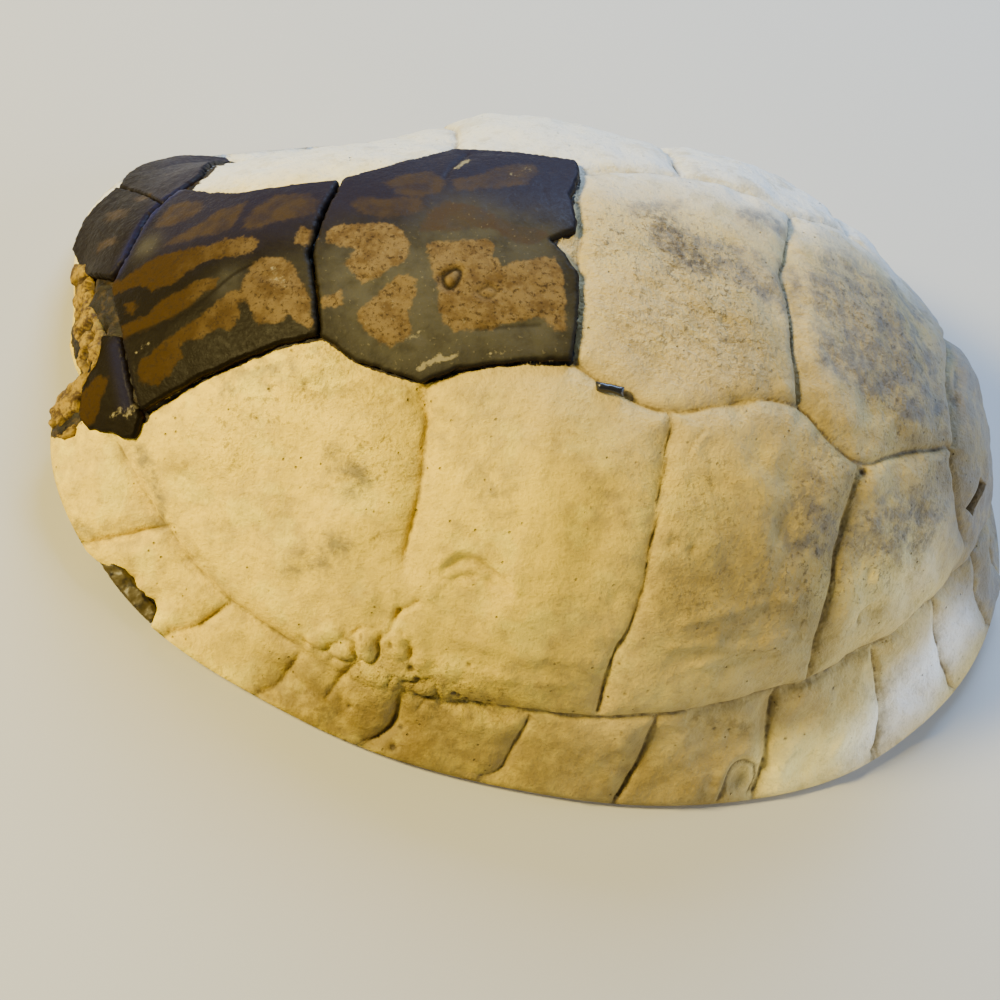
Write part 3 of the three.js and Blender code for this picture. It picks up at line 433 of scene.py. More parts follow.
# Patches on the scutes in plan: bright yellow-brown ones, and dull brown ones
YELLOW_PATCHES = (
    ((-65.1, 0.8), (-64.9, 2.4), (-62.5, 1.7), (-59.3, 3.5), (-56, 3.3), (-53.2, 3), (-51.2, 3.3),
     (-48.1, 2.9), (-47.3, 1.8), (-48, 0), (-50, 0), (-52.6, 0.4), (-54.1, 0), (-55.7, -1.3),
     (-56.7, -2.1), (-58.9, -2.2), (-60.3, -0.8), (-62.1, -0.4), (-63.6, -0.4)),
    ((-62.3, -6.9), (-62, -5.9), (-59.1, -5.7), (-57.7, -3.9), (-56.2, -3.8), (-54.7, -2.8),
     (-52.8, -2.5), (-51.4, -2.9), (-51.5, -4.2), (-52.8, -4.5), (-54.1, -6.3), (-55.6, -7.1),
     (-57.9, -7.6), (-60.1, -7.9), (-61.4, -8.2)),
    ((-59.2, -12.8), (-59.1, -11.7), (-56.6, -10.2), (-52.8, -7.6), (-50, -5.5), (-48.8, -5),
     (-48.3, -3.4), (-47.7, -1.6), (-46.7, -0.9), (-44.2, -1.3), (-42.5, -3.6), (-40.8, -7.1),
     (-40.2, -9.8), (-39.6, -11.6), (-41, -11), (-42.5, -9.7), (-43.2, -10.2), (-46.1, -10.5),
     (-47.3, -8), (-48.1, -6.7), (-48.8, -7.3), (-48.4, -9.8), (-49.5, -10.4), (-50.6, -9.8),
     (-52, -10.6), (-53.8, -10.6), (-54.7, -11.3), (-54.3, -12.5), (-55.2, -14.1), (-56.4, -15),
     (-58, -14.5)),
    ((-61.7, -4.2), (-61.8, -2.6), (-60.7, -2.8), (-60.2, -4.1), (-60.7, -4.9)),
    ((-43.1, 0.6), (-43.1, 2.1), (-42.4, 3.2), (-40.7, 2.3), (-40.3, 0.8), (-41.8, 0)),
    ((-39.6, 1.7), (-38.6, 2.9), (-35.3, 2.7), (-32.3, 2.4), (-30.8, 1.3), (-29.9, -0.9),
     (-29.6, -2.6), (-30.7, -4), (-32.3, -5), (-34.7, -6.4), (-35.4, -5.4), (-37.3, -3.3),
     (-36.1, -1.3), (-38.3, -0.5), (-39.4, 0.5)),
    ((-35, -9.9), (-33.2, -8.2), (-31.1, -5.4), (-29.6, -5.4), (-28.6, -6.4), (-28.3, -7.8),
     (-28.8, -10), (-28.2, -13), (-30.4, -14.3), (-31.8, -13.5), (-33.4, -12.4), (-34.6, -11.2)),
    ((-39.4, -8.1), (-37.1, -6.8), (-36.5, -7.9), (-36.9, -9.2), (-39, -9.2)),
    ((-27.9, -1.2), (-27.1, -0.7), (-23.8, -0.5), (-21.1, -0.3), (-19.6, -1.1), (-19.9, -2.6),
     (-18.8, -4.3), (-16.6, -3.3), (-14.8, -2.6), (-12.5, -2.6), (-11.3, -4.8), (-10.8, -8.1),
     (-10.2, -11.7), (-11.6, -12.1), (-13, -10.5), (-15.2, -11.1), (-17.5, -11.3),
     (-19.1, -12.3), (-23.1, -12.6), (-24.6, -11.9), (-25.7, -10), (-25.7, -8.3), (-26.7, -6)),
    ((-66, -15.2), (-65, -12.6), (-63.4, -11.6), (-62, -12.6), (-62.6, -14.2), (-62.9, -16.8),
     (-64, -17.2)),
)
BROWN_PATCHES = (
    ((-60.2, 9.2), (-58.7, 12.7), (-57.1, 13.4), (-54.6, 12.3), (-54.3, 10.5), (-55.5, 9.2),
     (-57.7, 8.5)),
    ((-58.5, 4.9), (-57.5, 6.2), (-54.4, 7.4), (-52.5, 9), (-49.2, 9.4), (-50.3, 5.3),
     (-52.1, 4.7), (-57, 4.6)),
    ((-49.5, 4.7), (-49.3, 6.2), (-48, 8.1), (-45.6, 10), (-42, 9.2), (-40.8, 7.2), (-41.2, 5.5),
     (-42.9, 4.6), (-45.3, 4.7), (-47.4, 4.1)),
    ((-37.2, 6.4), (-36.3, 7.7), (-33.7, 6.7), (-31.1, 7), (-28.7, 6.2), (-28.3, 5.1),
     (-29.2, 4.1), (-31.3, 3.3), (-33.5, 3.2), (-35.6, 4.3)),
    ((-33.3, 10), (-30.6, 11.8), (-27.3, 12.2), (-25.9, 10), (-26.5, 7.6), (-28.7, 6.8),
     (-31.5, 7.3)),
    ((-29.1, 0.9), (-28.3, 2.8), (-27.5, 4.8), (-26, 5.9), (-23.2, 5.5), (-20.5, 3.9),
     (-16.9, 1.8), (-14.5, 1.6), (-13.6, 0.8), (-14.5, -0.5), (-17.2, -0.7), (-19.2, 0.2),
     (-20, 1.2), (-22.6, 1.3), (-25.8, 0.8)),
    ((-25.3, 10.2), (-22.6, 11.1), (-18.2, 14.1), (-14.8, 14.8), (-14.3, 12.6), (-16.1, 9.7),
     (-20.4, 8.5), (-24.6, 8.1)),
    ((-62.6, 19.6), (-60.7, 19), (-60.8, 17.1), (-62.7, 17.5)),
    ((-65.9, 18.1), (-64.5, 17.8), (-63, 16.3), (-63.4, 14.3), (-65.6, 15.5)),
    ((-66.3, 12), (-64.4, 10.8), (-64, 9.3), (-66.1, 9.8)),
)

# Worn grey-green places of the scutes, their cracks and pits, and pale chips
WORN_PLACES = (
    (1, 6, ((-36, -5), (-30, -6))), (1, 6, ((-30, -13), (-22, -12), (-14, -12))),
    (0.8, 5, ((-24, 2), (-16, -1))), (0.7, 2, ((-61, 6),)), (0.6, 2.4, ((-50.5, -3.7),)),
    (0.5, 2.5, ((-44.5, -4),)),
)
SCUTE_MARKS = (
    (0.3, 1.6, 0.5, ((-68.6, 8), (-67.2, 4.6))), (0.2, 1.2, 0.5, ((-64.6, -5), (-62.4, -8.6))),
    (-0.06, 0.45, 0.65, ((-61.8, -8.1), (-57.9, -7.6), (-55.6, -7.1), (-52.3, -4.9), (-50.3, -3),
                         (-47.7, -1.4))),
    (-0.4, 0.45, 0.7, ((-25.5, -5.6), (-24.2, -4.4), (-23.4, -4.9), (-23.7, -6.6), (-24.5, -7.4),
                       (-25.4, -6.5), (-25.5, -5.6))),
    (0.15, 0.7, 0, ((-24.4, -5.8),)),
    (-0.14, 0.35, 0.5, ((-21.3, -7.7), (-20.1, -6.7), (-18.9, -7.7), (-20.1, -8.7),
                        (-21.3, -7.7))),
    (-0.1, 0.5, 0.5, ((-20.8, -12.3), (-13.5, -11.4))),
    (-0.12, 0.6, 0, ((-46.5, -3.5), (-44.8, -4.5))),
    (-0.2, 0.4, 0.4, ((-25.8, 10.9), (-24.9, 13.5), (-22.8, 17))),
)
PALE_CHIPS = (
    (0.6, 0.5, ((-24.4, 13), (-23.4, 14.6))), (0.5, 0.6, ((-22.9, 15.2),)),
    (0.6, 0.55, ((-26.6, -16.6), (-24.6, -15.4))), (0.5, 0.4, ((-24.3, -15.9), (-22.6, -15.3))),
    (0.45, 0.4, ((-18.8, -15), (-16.4, -14.6))), (0.4, 0.6, ((-28.8, -13.5), (-27.6, -12.6))),
    (0.35, 0.45, ((-60, -10.4), (-58.8, -9.7))), (0.4, 0.8, ((-61.9, -17.3), (-60.7, -16.6))),
    (0.4, 0.7, ((-59.7, -17.3), (-58.9, -16.8))), (0.35, 1.4, ((-45.5, -2.6), (-44.2, -4.8))),
    (0.3, 1.2, ((-17.3, 11.7), (-15.5, 13.4))),
)
# Painted reflection of the window: borders of the scutes at the head end painted a shining blue
PAINTED_WINDOW_SHINE = (
    (1, 0.9, ((-65.4, 3.6), (-62.8, 9.2), (-59.8, 14.2), (-55.5, 18))),
    (0.35, 1.1, ((-63.6, -8.6), (-61.9, -12.4), (-60.3, -16.2))),
)

# First seed of each kind of noise
WOBBLE_SEED = 1
RING_GROOVE_SEED = 3
GROOVE_SEED = 6
RESIDUE_SEED = 8
UNEVENNESS_SEED = 10
INSIDE_SEED = 20
EDGE_SEED = 31
RING_SEED = 40
SCUTE_SEED = 41
CRUST_SEED = 50
PLAIN_SEED = 60

# Mesh fineness: cells across the sheets, and steps in millimetres
OUTSIDE_CELLS = 200
INSIDE_CELLS = 100
DETAIL_REACH = 1.5
PLATE_STEP = 0.36
PLATE_EDGE_STEP = 0.24
CRUST_STEP = 0.26
ROW_SPACING = 0.866
EDGE_CLEARANCE = 0.6
ROUTE_STEP = 0.5
SLOPE_STEP = 0.01

# Distances to grooves and patches are followed up to this
FAR = 6.0

# Camera that the photo was taken with: where it aims on the ground, and how it stands
CAMERA_AIM = (-5.77, -8.47)
CAMERA_HEIGHT_ANGLE = 55.26
CAMERA_SIDE_ANGLE = -21.74
CAMERA_ROLL = 28.98
CAMERA_DISTANCE = 323.9
CAMERA_LENS = 82.86
SENSOR_WIDTH = 36

# Floor just clear of the rim
FLOOR_SIZE = 3000
FLOOR_GAP = 0.05

# Light
KEY_PLACE = (-510, -60, 410)
KEY_POWER = 11
KEY_SIZE = 140
KEY_COLOUR = (1, 0.8, 0.3)
WINDOW_PLACE = (40, 480, 400)
WINDOW_POWER = 6.5
WINDOW_SIZE = 300
WINDOW_COLOUR = (0.42, 0.62, 1)
SIDE_WINDOW_PLACE = (440, 120, 150)
SIDE_WINDOW_POWER = 1.6
SIDE_WINDOW_SIZE = 200
FILL_PLACE = (420, -280, 120)
FILL_POWER = 1.5
FILL_SIZE = 200
FILL_COLOUR = (1, 0.95, 0.8)
SKY_COLOUR = (0.75, 0.84, 1)
SKY_STRENGTH = 0.1

# Colours, as linear red, green and blue
CREAM = (0.85, 0.62, 0.035)
PALE_CREAM = (0.95, 0.77, 0.08)
DEEP_CREAM = (0.6, 0.44, 0.06)
DULL_BONE = (0.3, 0.225, 0.07)
PINKISH_CREAM = (0.42, 0.335, 0.19)
SHADED_BONE = (0.16, 0.12, 0.042)
# Bleached bone, partly painted light
BLEACHED_AND_LIT_BONE = (0.98, 0.84, 0.32)
# Painted window light on the bleached places nearest the tail
WINDOW_LIT_BLEACHED_BONE = (0.88, 0.87, 0.84)
# Painted window light on the far side, partly whiter bone
WINDOW_LIT_WHITE = (0.68, 0.67, 0.62)
TAN = (0.17, 0.115, 0.016)
# Painted shade at the tail end, with a cool tint of painted window light
SHADED_TAIL_BONE = (0.12, 0.118, 0.128)
BONE_GREY = (0.088, 0.084, 0.087)
SOIL = (0.04, 0.026, 0.01)
GROOVE_SOIL = (0.09, 0.06, 0.02)
RESIDUE_DARK = (0.006, 0.004, 0.0015)
RESIDUE_PALE = (0.035, 0.022, 0.006)
# Painted blue sheen of the window on the dark keratin
WINDOW_SHEEN_BLACK = (0.013, 0.011, 0.021)
# Painted reflection of the window
BLUE_SHINE = (0.012, 0.015, 0.08)
OLIVE_BLACK = (0.006, 0.004, 0.001)
WORN_KERATIN = (0.054, 0.05, 0.036)
KERATIN_YELLOW = (0.145, 0.098, 0.04)
KERATIN_ORANGE = (0.078, 0.047, 0.016)
KERATIN_AMBER = (0.035, 0.018, 0.001)
KERATIN_BROWN = (0.036, 0.024, 0.015)
KERATIN_PIT = (0.022, 0.013, 0.005)
KERATIN_SIDE = (0.02, 0.011, 0.006)
CHIP_PALE = (0.22, 0.19, 0.11)
CRUST_PALE = (0.26, 0.165, 0.012)
CRUST_DEEP = (0.05, 0.026, 0.004)
OLIVE = (0.05, 0.036, 0.006)
SPLINTER_BLUE = (0.01, 0.012, 0.02)
FLOOR_PALE = (0.5, 0.49, 0.46)

# Where the colours of the bone change along an axis, in millimetres from none to full. All but the last
# place painted light or shade, in whole or in part.
REAR_X = (-6, 30)
TOP_Z = (34, 46)
WINDOW_LIT_BLEACHED_X = (38, 52)
WINDOW_LIT_SIDE_Y = (8, 24)
SHADED_TAIL_X = (32, 56)
SHADED_TAIL_Y = (-24, -12)
LOW_SHADE_Z = (34, 10)
LOW_SHADE_FRONT_X = (-44, -16)
LOW_SHADE_REAR_X = (44, 34)
SOILED_GROOVE_X = (-30, 20)

# Where the colours of the scutes change, likewise. The first two place the painted blue sheen of the
# window.
WINDOW_SIDE_Y = (-1, 9)
BEHIND_RIM_X = (-62, -54)
AMBER_X = (-54, -33)

# Sizes of the cloudiness, specks and pores in the colours
BROAD = 13
PATCHY = 4
CLOUDY = 2
FINE = 1.1
PALE_PATCH = 6.5
DULL_PATCH = 4.5
SMUDGE_GRAIN = 1.3
SPECK = 0.9
PORE_SPACING = 1.7
PORE_PATCH = 6
RAGGED_SOIL = 1
SOIL_GRAIN = 0.6


def smooth(value, low, high):
    """0 below low, 1 above high and an even S curve between them."""
    share = np.clip((value - low) / (high - low), 0, 1)
    return share * share * (3 - 2 * share)


def mix(a, b, share):
    return a + (b - a) * share


def signed_power(value, power):
    return np.sign(value) * np.abs(value) ** power


def angle_between(a, b):
    return np.arctan2(np.sin(a - b), np.cos(a - b))


def around(values, turn):
    """Smooth curve, alike on both sides, through five values at 0 to 180 degrees."""
    last = len(values) - 1
    total = 0
    for wave in range(last + 1):
        weight = 0
        for j, value in enumerate(values):
            half = 0.5 if j in (0, last) else 1
            weight += half * value * math.cos(math.pi * j * wave / last)
        half = 0.5 if wave in (0, last) else 1
        total = total + half * (2 / last) * weight * np.cos(wave * turn)
    return total


def rim_point(turn):
    rear = np.cos(turn) > 0
    power = np.where(rear, 2 / REAR_FULLNESS, 2 / FRONT_FULLNESS)
    reach = np.where(rear, REAR_REACH, FRONT_REACH)
    x = MIDDLE_X + reach * signed_power(np.cos(turn), power)
    return x, HALF_WIDTH * signed_power(np.sin(turn), power)


def rim_lift(turn):
    out = np.clip((np.abs(np.cos(turn)) - REST_SPAN) / (1 - REST_SPAN), 0, 1)
    return np.where(np.cos(turn) < 0, FRONT_LIFT, REAR_LIFT) * out * out


def creased_point(turn, share):
    """Even dome and band. turn is the direction in radians, share runs from 0 to 1."""
    rim_x, rim_y = rim_point(turn)
    band = around(BAND_WIDTH, turn)
    edge = around(DOME_EDGE, turn) * DEG
    up = np.clip(share / RING, 0, 1)
    out = np.clip((share - RING) / (1 - RING), 0, 1)
    slope = np.arcsin(np.clip(up * np.sin(edge), 0, 1))
    rounding = (np.cos(slope) - np.cos(edge)) / (1 - np.cos(edge))
    crown = rounding + around(DOME_FILL, turn) * up * up * (1 - up * up)
    reach = (1 - band) * up + band * out
    lift = rim_lift(turn)
    ring_height = around(BAND_RISE, turn) + lift
    z = np.where(share <= RING, mix(ring_height, HEIGHT, crown),
                 mix(ring_height, lift + LIP_HEIGHT, out))
    return np.stack([mix(APEX_X, rim_x, reach), rim_y * reach, z], -1)


def even_point(turn, share):
    reach = CREASE_SOFTENING * np.clip((1 - share) / 0.1, 0, 1) * np.clip(share / 0.5, 0, 1)
    sides = creased_point(turn, share - reach) + creased_point(turn, share + reach)
    return (2 * creased_point(turn, share) + sides) / 4


def bite_depth(turn):
    angles = [angle for angle, depth in BITE]
    depths = [depth for angle, depth in BITE]
    return np.interp(angle_between(turn, 0) / DEG, angles, depths, 0, 0)


def outside_point(turn, share, bitten=True):
    """The outside with its swells and, unless bitten is false, its broken places."""
    point = even_point(turn, share)
    away = point[..., :2] - np.array([APEX_X, 0])
    reach = np.hypot(away[..., 0], away[..., 1]) + 1e-9
    away = away / reach[..., None]
    height = 0
    for degrees, at, swell in SWELLS:
        side = angle_between(turn, degrees * DEG) / SWELL_TURN
        along = (share - at) / SWELL_SHARE
        height = height + swell * np.exp(-side * side - along * along)
    flat = np.clip(reach / SWELL_SIDEWAYS, 0, 1)
    out = height * flat
    if bitten:
        out = out - bite_depth(turn) * np.clip((share - BITE_SHARE) / (1 - BITE_SHARE), 0, 1)
    point[..., :2] += away * out[..., None]
    point[..., 2] += np.where(share < 0.999, height * np.sqrt(1 - flat * flat), 0)
    return point


def outward_normal(turn, share):
    """Direction square to the outside, which stays defined at the apex and at the rim."""
    at = np.clip(share, 0.02, 0.97)
    step = SLOPE_STEP
    across = outside_point(turn + step, at, False) - outside_point(turn - step, at, False)
    down = outside_point(turn, at + step, False) - outside_point(turn, at - step, False)
    normal = np.cross(down, across)
    return normal / np.linalg.norm(normal, axis=-1, keepdims=True)


class Unrolled:
    """The dome rolled out flat from its apex: angle is the direction, radius is the way walked."""

    def __init__(self, turns=361, shares=241):
        self.turns = np.linspace(-math.pi, math.pi, turns)
        self.shares = np.linspace(0, 1, shares)
        turn, share = np.meshgrid(self.turns, self.shares, indexing="ij")
        steps = np.linalg.norm(np.diff(even_point(turn, share), axis=1), axis=-1)
        self.lengths = np.concatenate([np.zeros((turns, 1)), np.cumsum(steps, 1)], 1)

    def length(self, turn, share):
        return self._look(turn, share * (len(self.shares) - 1))

    def _look(self, turn, column):
        row = (angle_between(turn, 0) + math.pi) / (2 * math.pi) * (len(self.turns) - 1)
        low_row = np.clip(row.astype(int), 0, len(self.turns) - 2)
        low = np.clip(np.asarray(column).astype(int), 0, len(self.shares) - 2)
        a, b = row - low_row, column - low
        top = mix(self.lengths[low_row, low], self.lengths[low_row, low + 1], b)
        bottom = mix(self.lengths[low_row + 1, low], self.lengths[low_row + 1, low + 1], b)
        return mix(top, bottom, a)

    def flat(self, turn, share):
        length = self.length(turn, share)
        return np.stack([length * np.cos(turn), length * np.sin(turn)], -1)

    def back(self, flat):
        """Direction and share of places on the flat sheet. Places past the rim get a share of 1."""
        turn = np.arctan2(flat[..., 1], flat[..., 0])
        wanted = np.hypot(flat[..., 0], flat[..., 1])
        return turn, self.share_at(turn, wanted)

    def share_at(self, turn, wanted):
        """Share at which the way walked from the apex is as long as wanted."""
        low, high = np.zeros_like(wanted), np.ones_like(wanted)
        for _ in range(22):
            middle = (low + high) / 2
            short = self.length(turn, middle) < wanted
            low, high = np.where(short, middle, low), np.where(short, high, middle)
        return (low + high) / 2


unrolled = Unrolled()


def locate(plan):
    """Direction and share of places given in plan."""
    plan = np.asarray(plan, float)
    turns = np.linspace(0, math.pi, 2001)
    rim_x, rim_y = rim_point(turns)
    angles = np.arctan2(rim_y, rim_x - APEX_X)
    wanted = np.arctan2(np.abs(plan[..., 1]), plan[..., 0] - APEX_X)
    turn = np.interp(wanted, angles, turns)
    rim_x, rim_y = rim_point(turn)
    reach = np.hypot(plan[..., 0] - APEX_X, plan[..., 1]) / np.hypot(rim_x - APEX_X, rim_y)
    band = around(BAND_WIDTH, turn)
    share = np.where(reach <= 1 - band, RING * reach / (1 - band),
                     RING + (1 - RING) * (reach - 1 + band) / band)
    return np.where(plan[..., 1] < 0, -turn, turn), np.clip(share, 0, 1)


def noise(points, size, seed=0):
    """Smooth noise of about -1 to 1 in space, with lumps of about the given size."""
    scaled = points / size + seed * 17.31
    cell = np.floor(scaled).astype(np.int64)
    part = scaled - cell
    part = part * part * part * (part * (part * 6 - 15) + 10)
    total = 0
    for dx in (0, 1):
        for dy in (0, 1):
            for dz in (0, 1):
                corner = cell + np.array([dx, dy, dz])
                mixed = (corner[..., 0] * 73856093) ^ (corner[..., 1] * 19349663)
                mixed = mixed ^ (corner[..., 2] * 83492791) ^ (seed * 2654435761)
                mixed = (mixed ^ (mixed >> 13)) * 1274126177
                value = ((mixed ^ (mixed >> 16)) & 0xFFFF) / 32767.5 - 1
                weight = (
                    np.where(dx, part[..., 0], 1 - part[..., 0])
                    * np.where(dy, part[..., 1], 1 - part[..., 1])
                    * np.where(dz, part[..., 2], 1 - part[..., 2])
                )
                total = total + value * weight
    return total


def lumps(points, sizes, seed):
    """Sum of noises, given as the size of the lumps and their height."""
    total = 0
    for k, (size, rise) in enumerate(sizes):
        total = total + rise * noise(points, size, seed + k)
    return total


def rounded_route(plan):
    """Cuts the corners of a route in plan twice, keeping its ends."""
    route = np.asarray(plan, float)
    for _ in range(2):
        near = mix(route[:-1], route[1:], 0.2)
        far = mix(route[:-1], route[1:], 0.8)
        middle = np.stack([near, far], 1).reshape(-1, 2)
        route = np.concatenate([route[:1], middle[1:-1], route[-1:]])
    return route


def square_sheet(cells):
    """A square grid bent into a disc: direction and radius share of each point, and its faces."""
    ticks = np.linspace(-1, 1, cells + 1)
    a, b = np.meshgrid(ticks, ticks, indexing="ij")
    wide = np.abs(a) >= np.abs(b)
    safe_a = np.where(a == 0, 1, a)
    safe_b = np.where(b == 0, 1, b)
    radius = np.maximum(np.abs(a), np.abs(b))
    turn = np.where(
        wide,
        np.where(a >= 0, 0, math.pi) + (math.pi / 4) * b / safe_a,
        np.where(b >= 0, 1, -1) * math.pi / 2 - (math.pi / 4) * a / safe_b,
    )
    index = np.arange((cells + 1) ** 2).reshape(cells + 1, cells + 1)
    faces = np.stack([index[:-1, :-1], index[1:, :-1], index[1:, 1:], index[:-1, 1:]], -1)
    edge = np.concatenate([index[:-1, 0], index[-1, :-1], index[:0:-1, -1], index[0, :0:-1]])
    return turn.ravel(), radius.ravel(), faces.reshape(-1, 4), edge


def counterclockwise(flat):
    following = np.roll(flat, -1, 0)
    area = np.sum(flat[:, 0] * following[:, 1] - following[:, 0] * flat[:, 1])
    return flat if area > 0 else flat[::-1]


def make_object(name, points, faces, attributes=None):
    """A mesh object from points in millimetres. attributes are named lists, one number a point."""
    mesh = bpy.data.meshes.new(name)
    mesh.from_pydata((points * MM).tolist(), [], faces)
    mesh.validate()
    for key, values in (attributes or {}).items():
        layer = mesh.attributes.new(key, "FLOAT", "POINT")
        layer.data.foreach_set("value", np.asarray(values, np.float32))
    mesh.shade_smooth()
    thing = bpy.data.objects.new(name, mesh)
    bpy.context.scene.collection.objects.link(thing)
    return thing


def route_points(plan, wobble=WOBBLE, step=ROUTE_STEP):
    """Points on the bone along a route in plan, with a slight natural wobble."""
    route = rounded_route(plan) if len(plan) > 1 else np.asarray(plan * 2, float)
    lengths = np.concatenate([[0], np.cumsum(np.hypot(*np.diff(route, axis=0).T))])
    at = np.linspace(0, lengths[-1], max(2, math.ceil(lengths[-1] / step)))
    line = np.stack([np.interp(at, lengths, route[:, i]) for i in (0, 1)], -1)
    in_space = np.c_[line, np.zeros(len(line))]
    seeds = (WOBBLE_SEED, WOBBLE_SEED + 1)
    shifts = np.stack([noise(in_space, WOBBLE_SIZE, seed) for seed in seeds], -1)
    return outside_point(*locate(line + wobble * shifts))


def mark_points(plan):
    return route_points(plan, MARK_WOBBLE, MARK_STEP)


def groove_lines():
    mirrored = [[(x, -y) for x, y in route] for route in MARGINAL_LEFT]
    plain = [VERTEBRAL_LEFT, VERTEBRAL_RIGHT, *CROSS_GROOVES, *COSTAL_LEFT, *COSTAL_RIGHT,
             *MARGINAL_LEFT, *mirrored]
    lines = [route_points(route) for route in plain]
    turns = np.linspace(0, 2 * math.pi, 720)
    circle = np.c_[np.cos(turns), np.sin(turns), np.zeros(len(turns))] * RING_GROOVE_RADIUS
    wave = RING_GROOVE_WAVE * noise(circle, RING_GROOVE_WAVE_SIZE, RING_GROOVE_SEED)
    lines.append(outside_point(turns, RING + wave))
    shares = np.linspace(RING, 1, 24)
    for degrees in STRAIGHT_MARGINALS:
        wave = MARGINAL_WAVE * np.sin((shares - RING) * MARGINAL_WAVE_RATE + degrees)
        lines.append(outside_point(degrees * DEG + wave, shares))
    return lines


def distance_to_lines(points, lines, reach=FAR):
    """Distance from each point to the nearest line, up to reach."""
    best = np.full(len(points), float(reach))
    for line in lines:
        near = np.all((points > line.min(0) - reach) & (points < line.max(0) + reach), axis=1)
        index = np.nonzero(near)[0]
        chosen = points[index]
        found = np.full(len(index), float(reach))
        for start, end in zip(line[:-1], line[1:]):
            along = end - start
            square = max(float(along @ along), 1e-9)
            share = np.clip((chosen - start) @ along / square, 0, 1)
            gap = np.linalg.norm(chosen - start - share[:, None] * along, axis=1)
            found = np.minimum(found, gap)
        best[index] = np.minimum(best[index], found)
    return best


def soft_stroke(points, route, reach):
    """1 along a route in plan, fading to 0 away from it."""
    gap = distance_to_lines(points, [mark_points(route)], 3 * reach)
    return np.where(gap < 3 * reach, np.exp(-(gap / reach) ** 2), 0)


def painted(points, strokes):
    """Sum of soft strokes, at most 1."""
    total = np.zeros(len(points))
    for strength, reach, route in strokes:
        total = total + strength * soft_stroke(points, route, reach)
    return np.clip(total, 0, 1)


def marked(points, marks):
    """Height and dirt of marks that lie in a surface."""
    height = np.zeros(len(points))
    dirt = np.zeros(len(points))
    for rise, reach, soil, route in marks:
        stroke = soft_stroke(points, route, reach)
        height = height + rise * stroke
        dirt = np.maximum(dirt, soil * stroke)
    return height, dirt


def lobe_height(points):
    """Height of the rounded lobes where the bone healed."""
    height = np.zeros(len(points))
    for rise, reach, route in LOBES:
        gap = distance_to_lines(points, [mark_points(route)], reach) / reach
        height = np.maximum(height, rise * (1 - gap * gap) ** LOBE_FULLNESS)
    return height


def depth_inside(points, outline):
    """Distance from places in plan to a closed outline, negative outside it."""
    outline = np.asarray(outline, float)
    inside = np.zeros(len(points), bool)
    gap = np.full(len(points), np.inf)
    for start, end in zip(outline, np.roll(outline, -1, 0)):
        along = end - start
        share = np.clip((points - start) @ along / (along @ along), 0, 1)
        gap = np.minimum(gap, np.linalg.norm(points - start - share[:, None] * along, axis=1))
        crosses = (start[1] > points[:, 1]) != (end[1] > points[:, 1])
        rise = along[1] if along[1] != 0 else 1
        inside ^= crosses & (points[:, 0] < along[0] * (points[:, 1] - start[1]) / rise + start[0])
    return np.where(inside, gap, -gap)


def patch_depth(plan, patches):
    """How deep places lie inside the nearest patch, negative outside, within a few millimetres."""
    best = np.full(len(plan), -FAR)
    for outline in patches:
        best = np.maximum(best, depth_inside(plan, outline))
    return best


def split_faces(flat, faces, chosen):
    """Splits the chosen four-sided faces in four. Their neighbours take in the new points."""
    points = flat.tolist()
    middles = {}

    def middle(a, b):
        key = (min(a, b), max(a, b))
        if key not in middles:
            middles[key] = len(points)
            points.append([(points[a][i] + points[b][i]) / 2 for i in (0, 1)])
        return middles[key]

    result = []
    for face in faces[chosen].tolist():
        sides = [middle(face[i], face[(i + 1) % 4]) for i in range(4)]
        centre = len(points)
        points.append([sum(points[corner][i] for corner in face) / 4 for i in (0, 1)])
        result += [[face[i], sides[i], centre, sides[i - 1]] for i in range(4)]
    for face in faces[~chosen].tolist():
        ring = []
        for i in range(4):
            a, b = face[i], face[(i + 1) % 4]
            ring.append(a)
            if (min(a, b), max(a, b)) in middles:
                ring.append(middles[(min(a, b), max(a, b))])
        result.append(ring)
    return np.array(points), result


def step_down(points):
    """The field behind the third midline groove lies a little lower."""
    route = np.array(CROSS_GROOVES[2])
    behind = points[:, 0] - np.interp(points[:, 1], route[:, 1], route[:, 0])
    beside = smooth(np.abs(points[:, 1]), *STEP_SIDES)
    return -STEP_HEIGHT * (behind > 0) * np.exp(-np.abs(behind) / STEP_REACH) * (1 - beside)


def covered(base):
    """1 under the scutes, 0 beside them."""
    depths = [depth_inside(base[:, :2], outline) for outline in SCUTE_OUTLINES.values()]
    return smooth(np.max(depths, axis=0), -COVER_FADE, COVER_FADE)


def bone_relief(base, share, groove, residue):
    """Height of the outside over the even surface, and how dirty it is."""
    height, dirt = marked(base, BONE_MARKS)
    height += lobe_height(base)
    bare = 1 - covered(base)
    vary = 1 + GROOVE_VARIATION * noise(base, GROOVE_VARIATION_SIZE, GROOVE_SEED)
    height -= bare * vary * CUT_DEPTH * np.exp(-(groove / CUT_REACH) ** 2)
    height -= bare * TROUGH_DEPTH * np.exp(-(groove / TROUGH_REACH) ** 2)
    height += residue * (RESIDUE_HEIGHT + lumps(base, RESIDUE_CRUMBS, RESIDUE_SEED))
    height += PILLOW_HEIGHT * (1 - np.exp(-groove / PILLOW_REACH) - 0.5)
    height += step_down(base)
    rough = mix(1, REAR_ROUGHNESS, smooth(base[:, 0], SMOOTH_UP_TO, ROUGH_FROM))
    height += rough * lumps(base, UNEVENNESS, UNEVENNESS_SEED)
    height = np.minimum(height, mix(height.max(), UNDER_SCUTES, 1 - bare))
    return np.where(share >= 1, 0, height), dirt


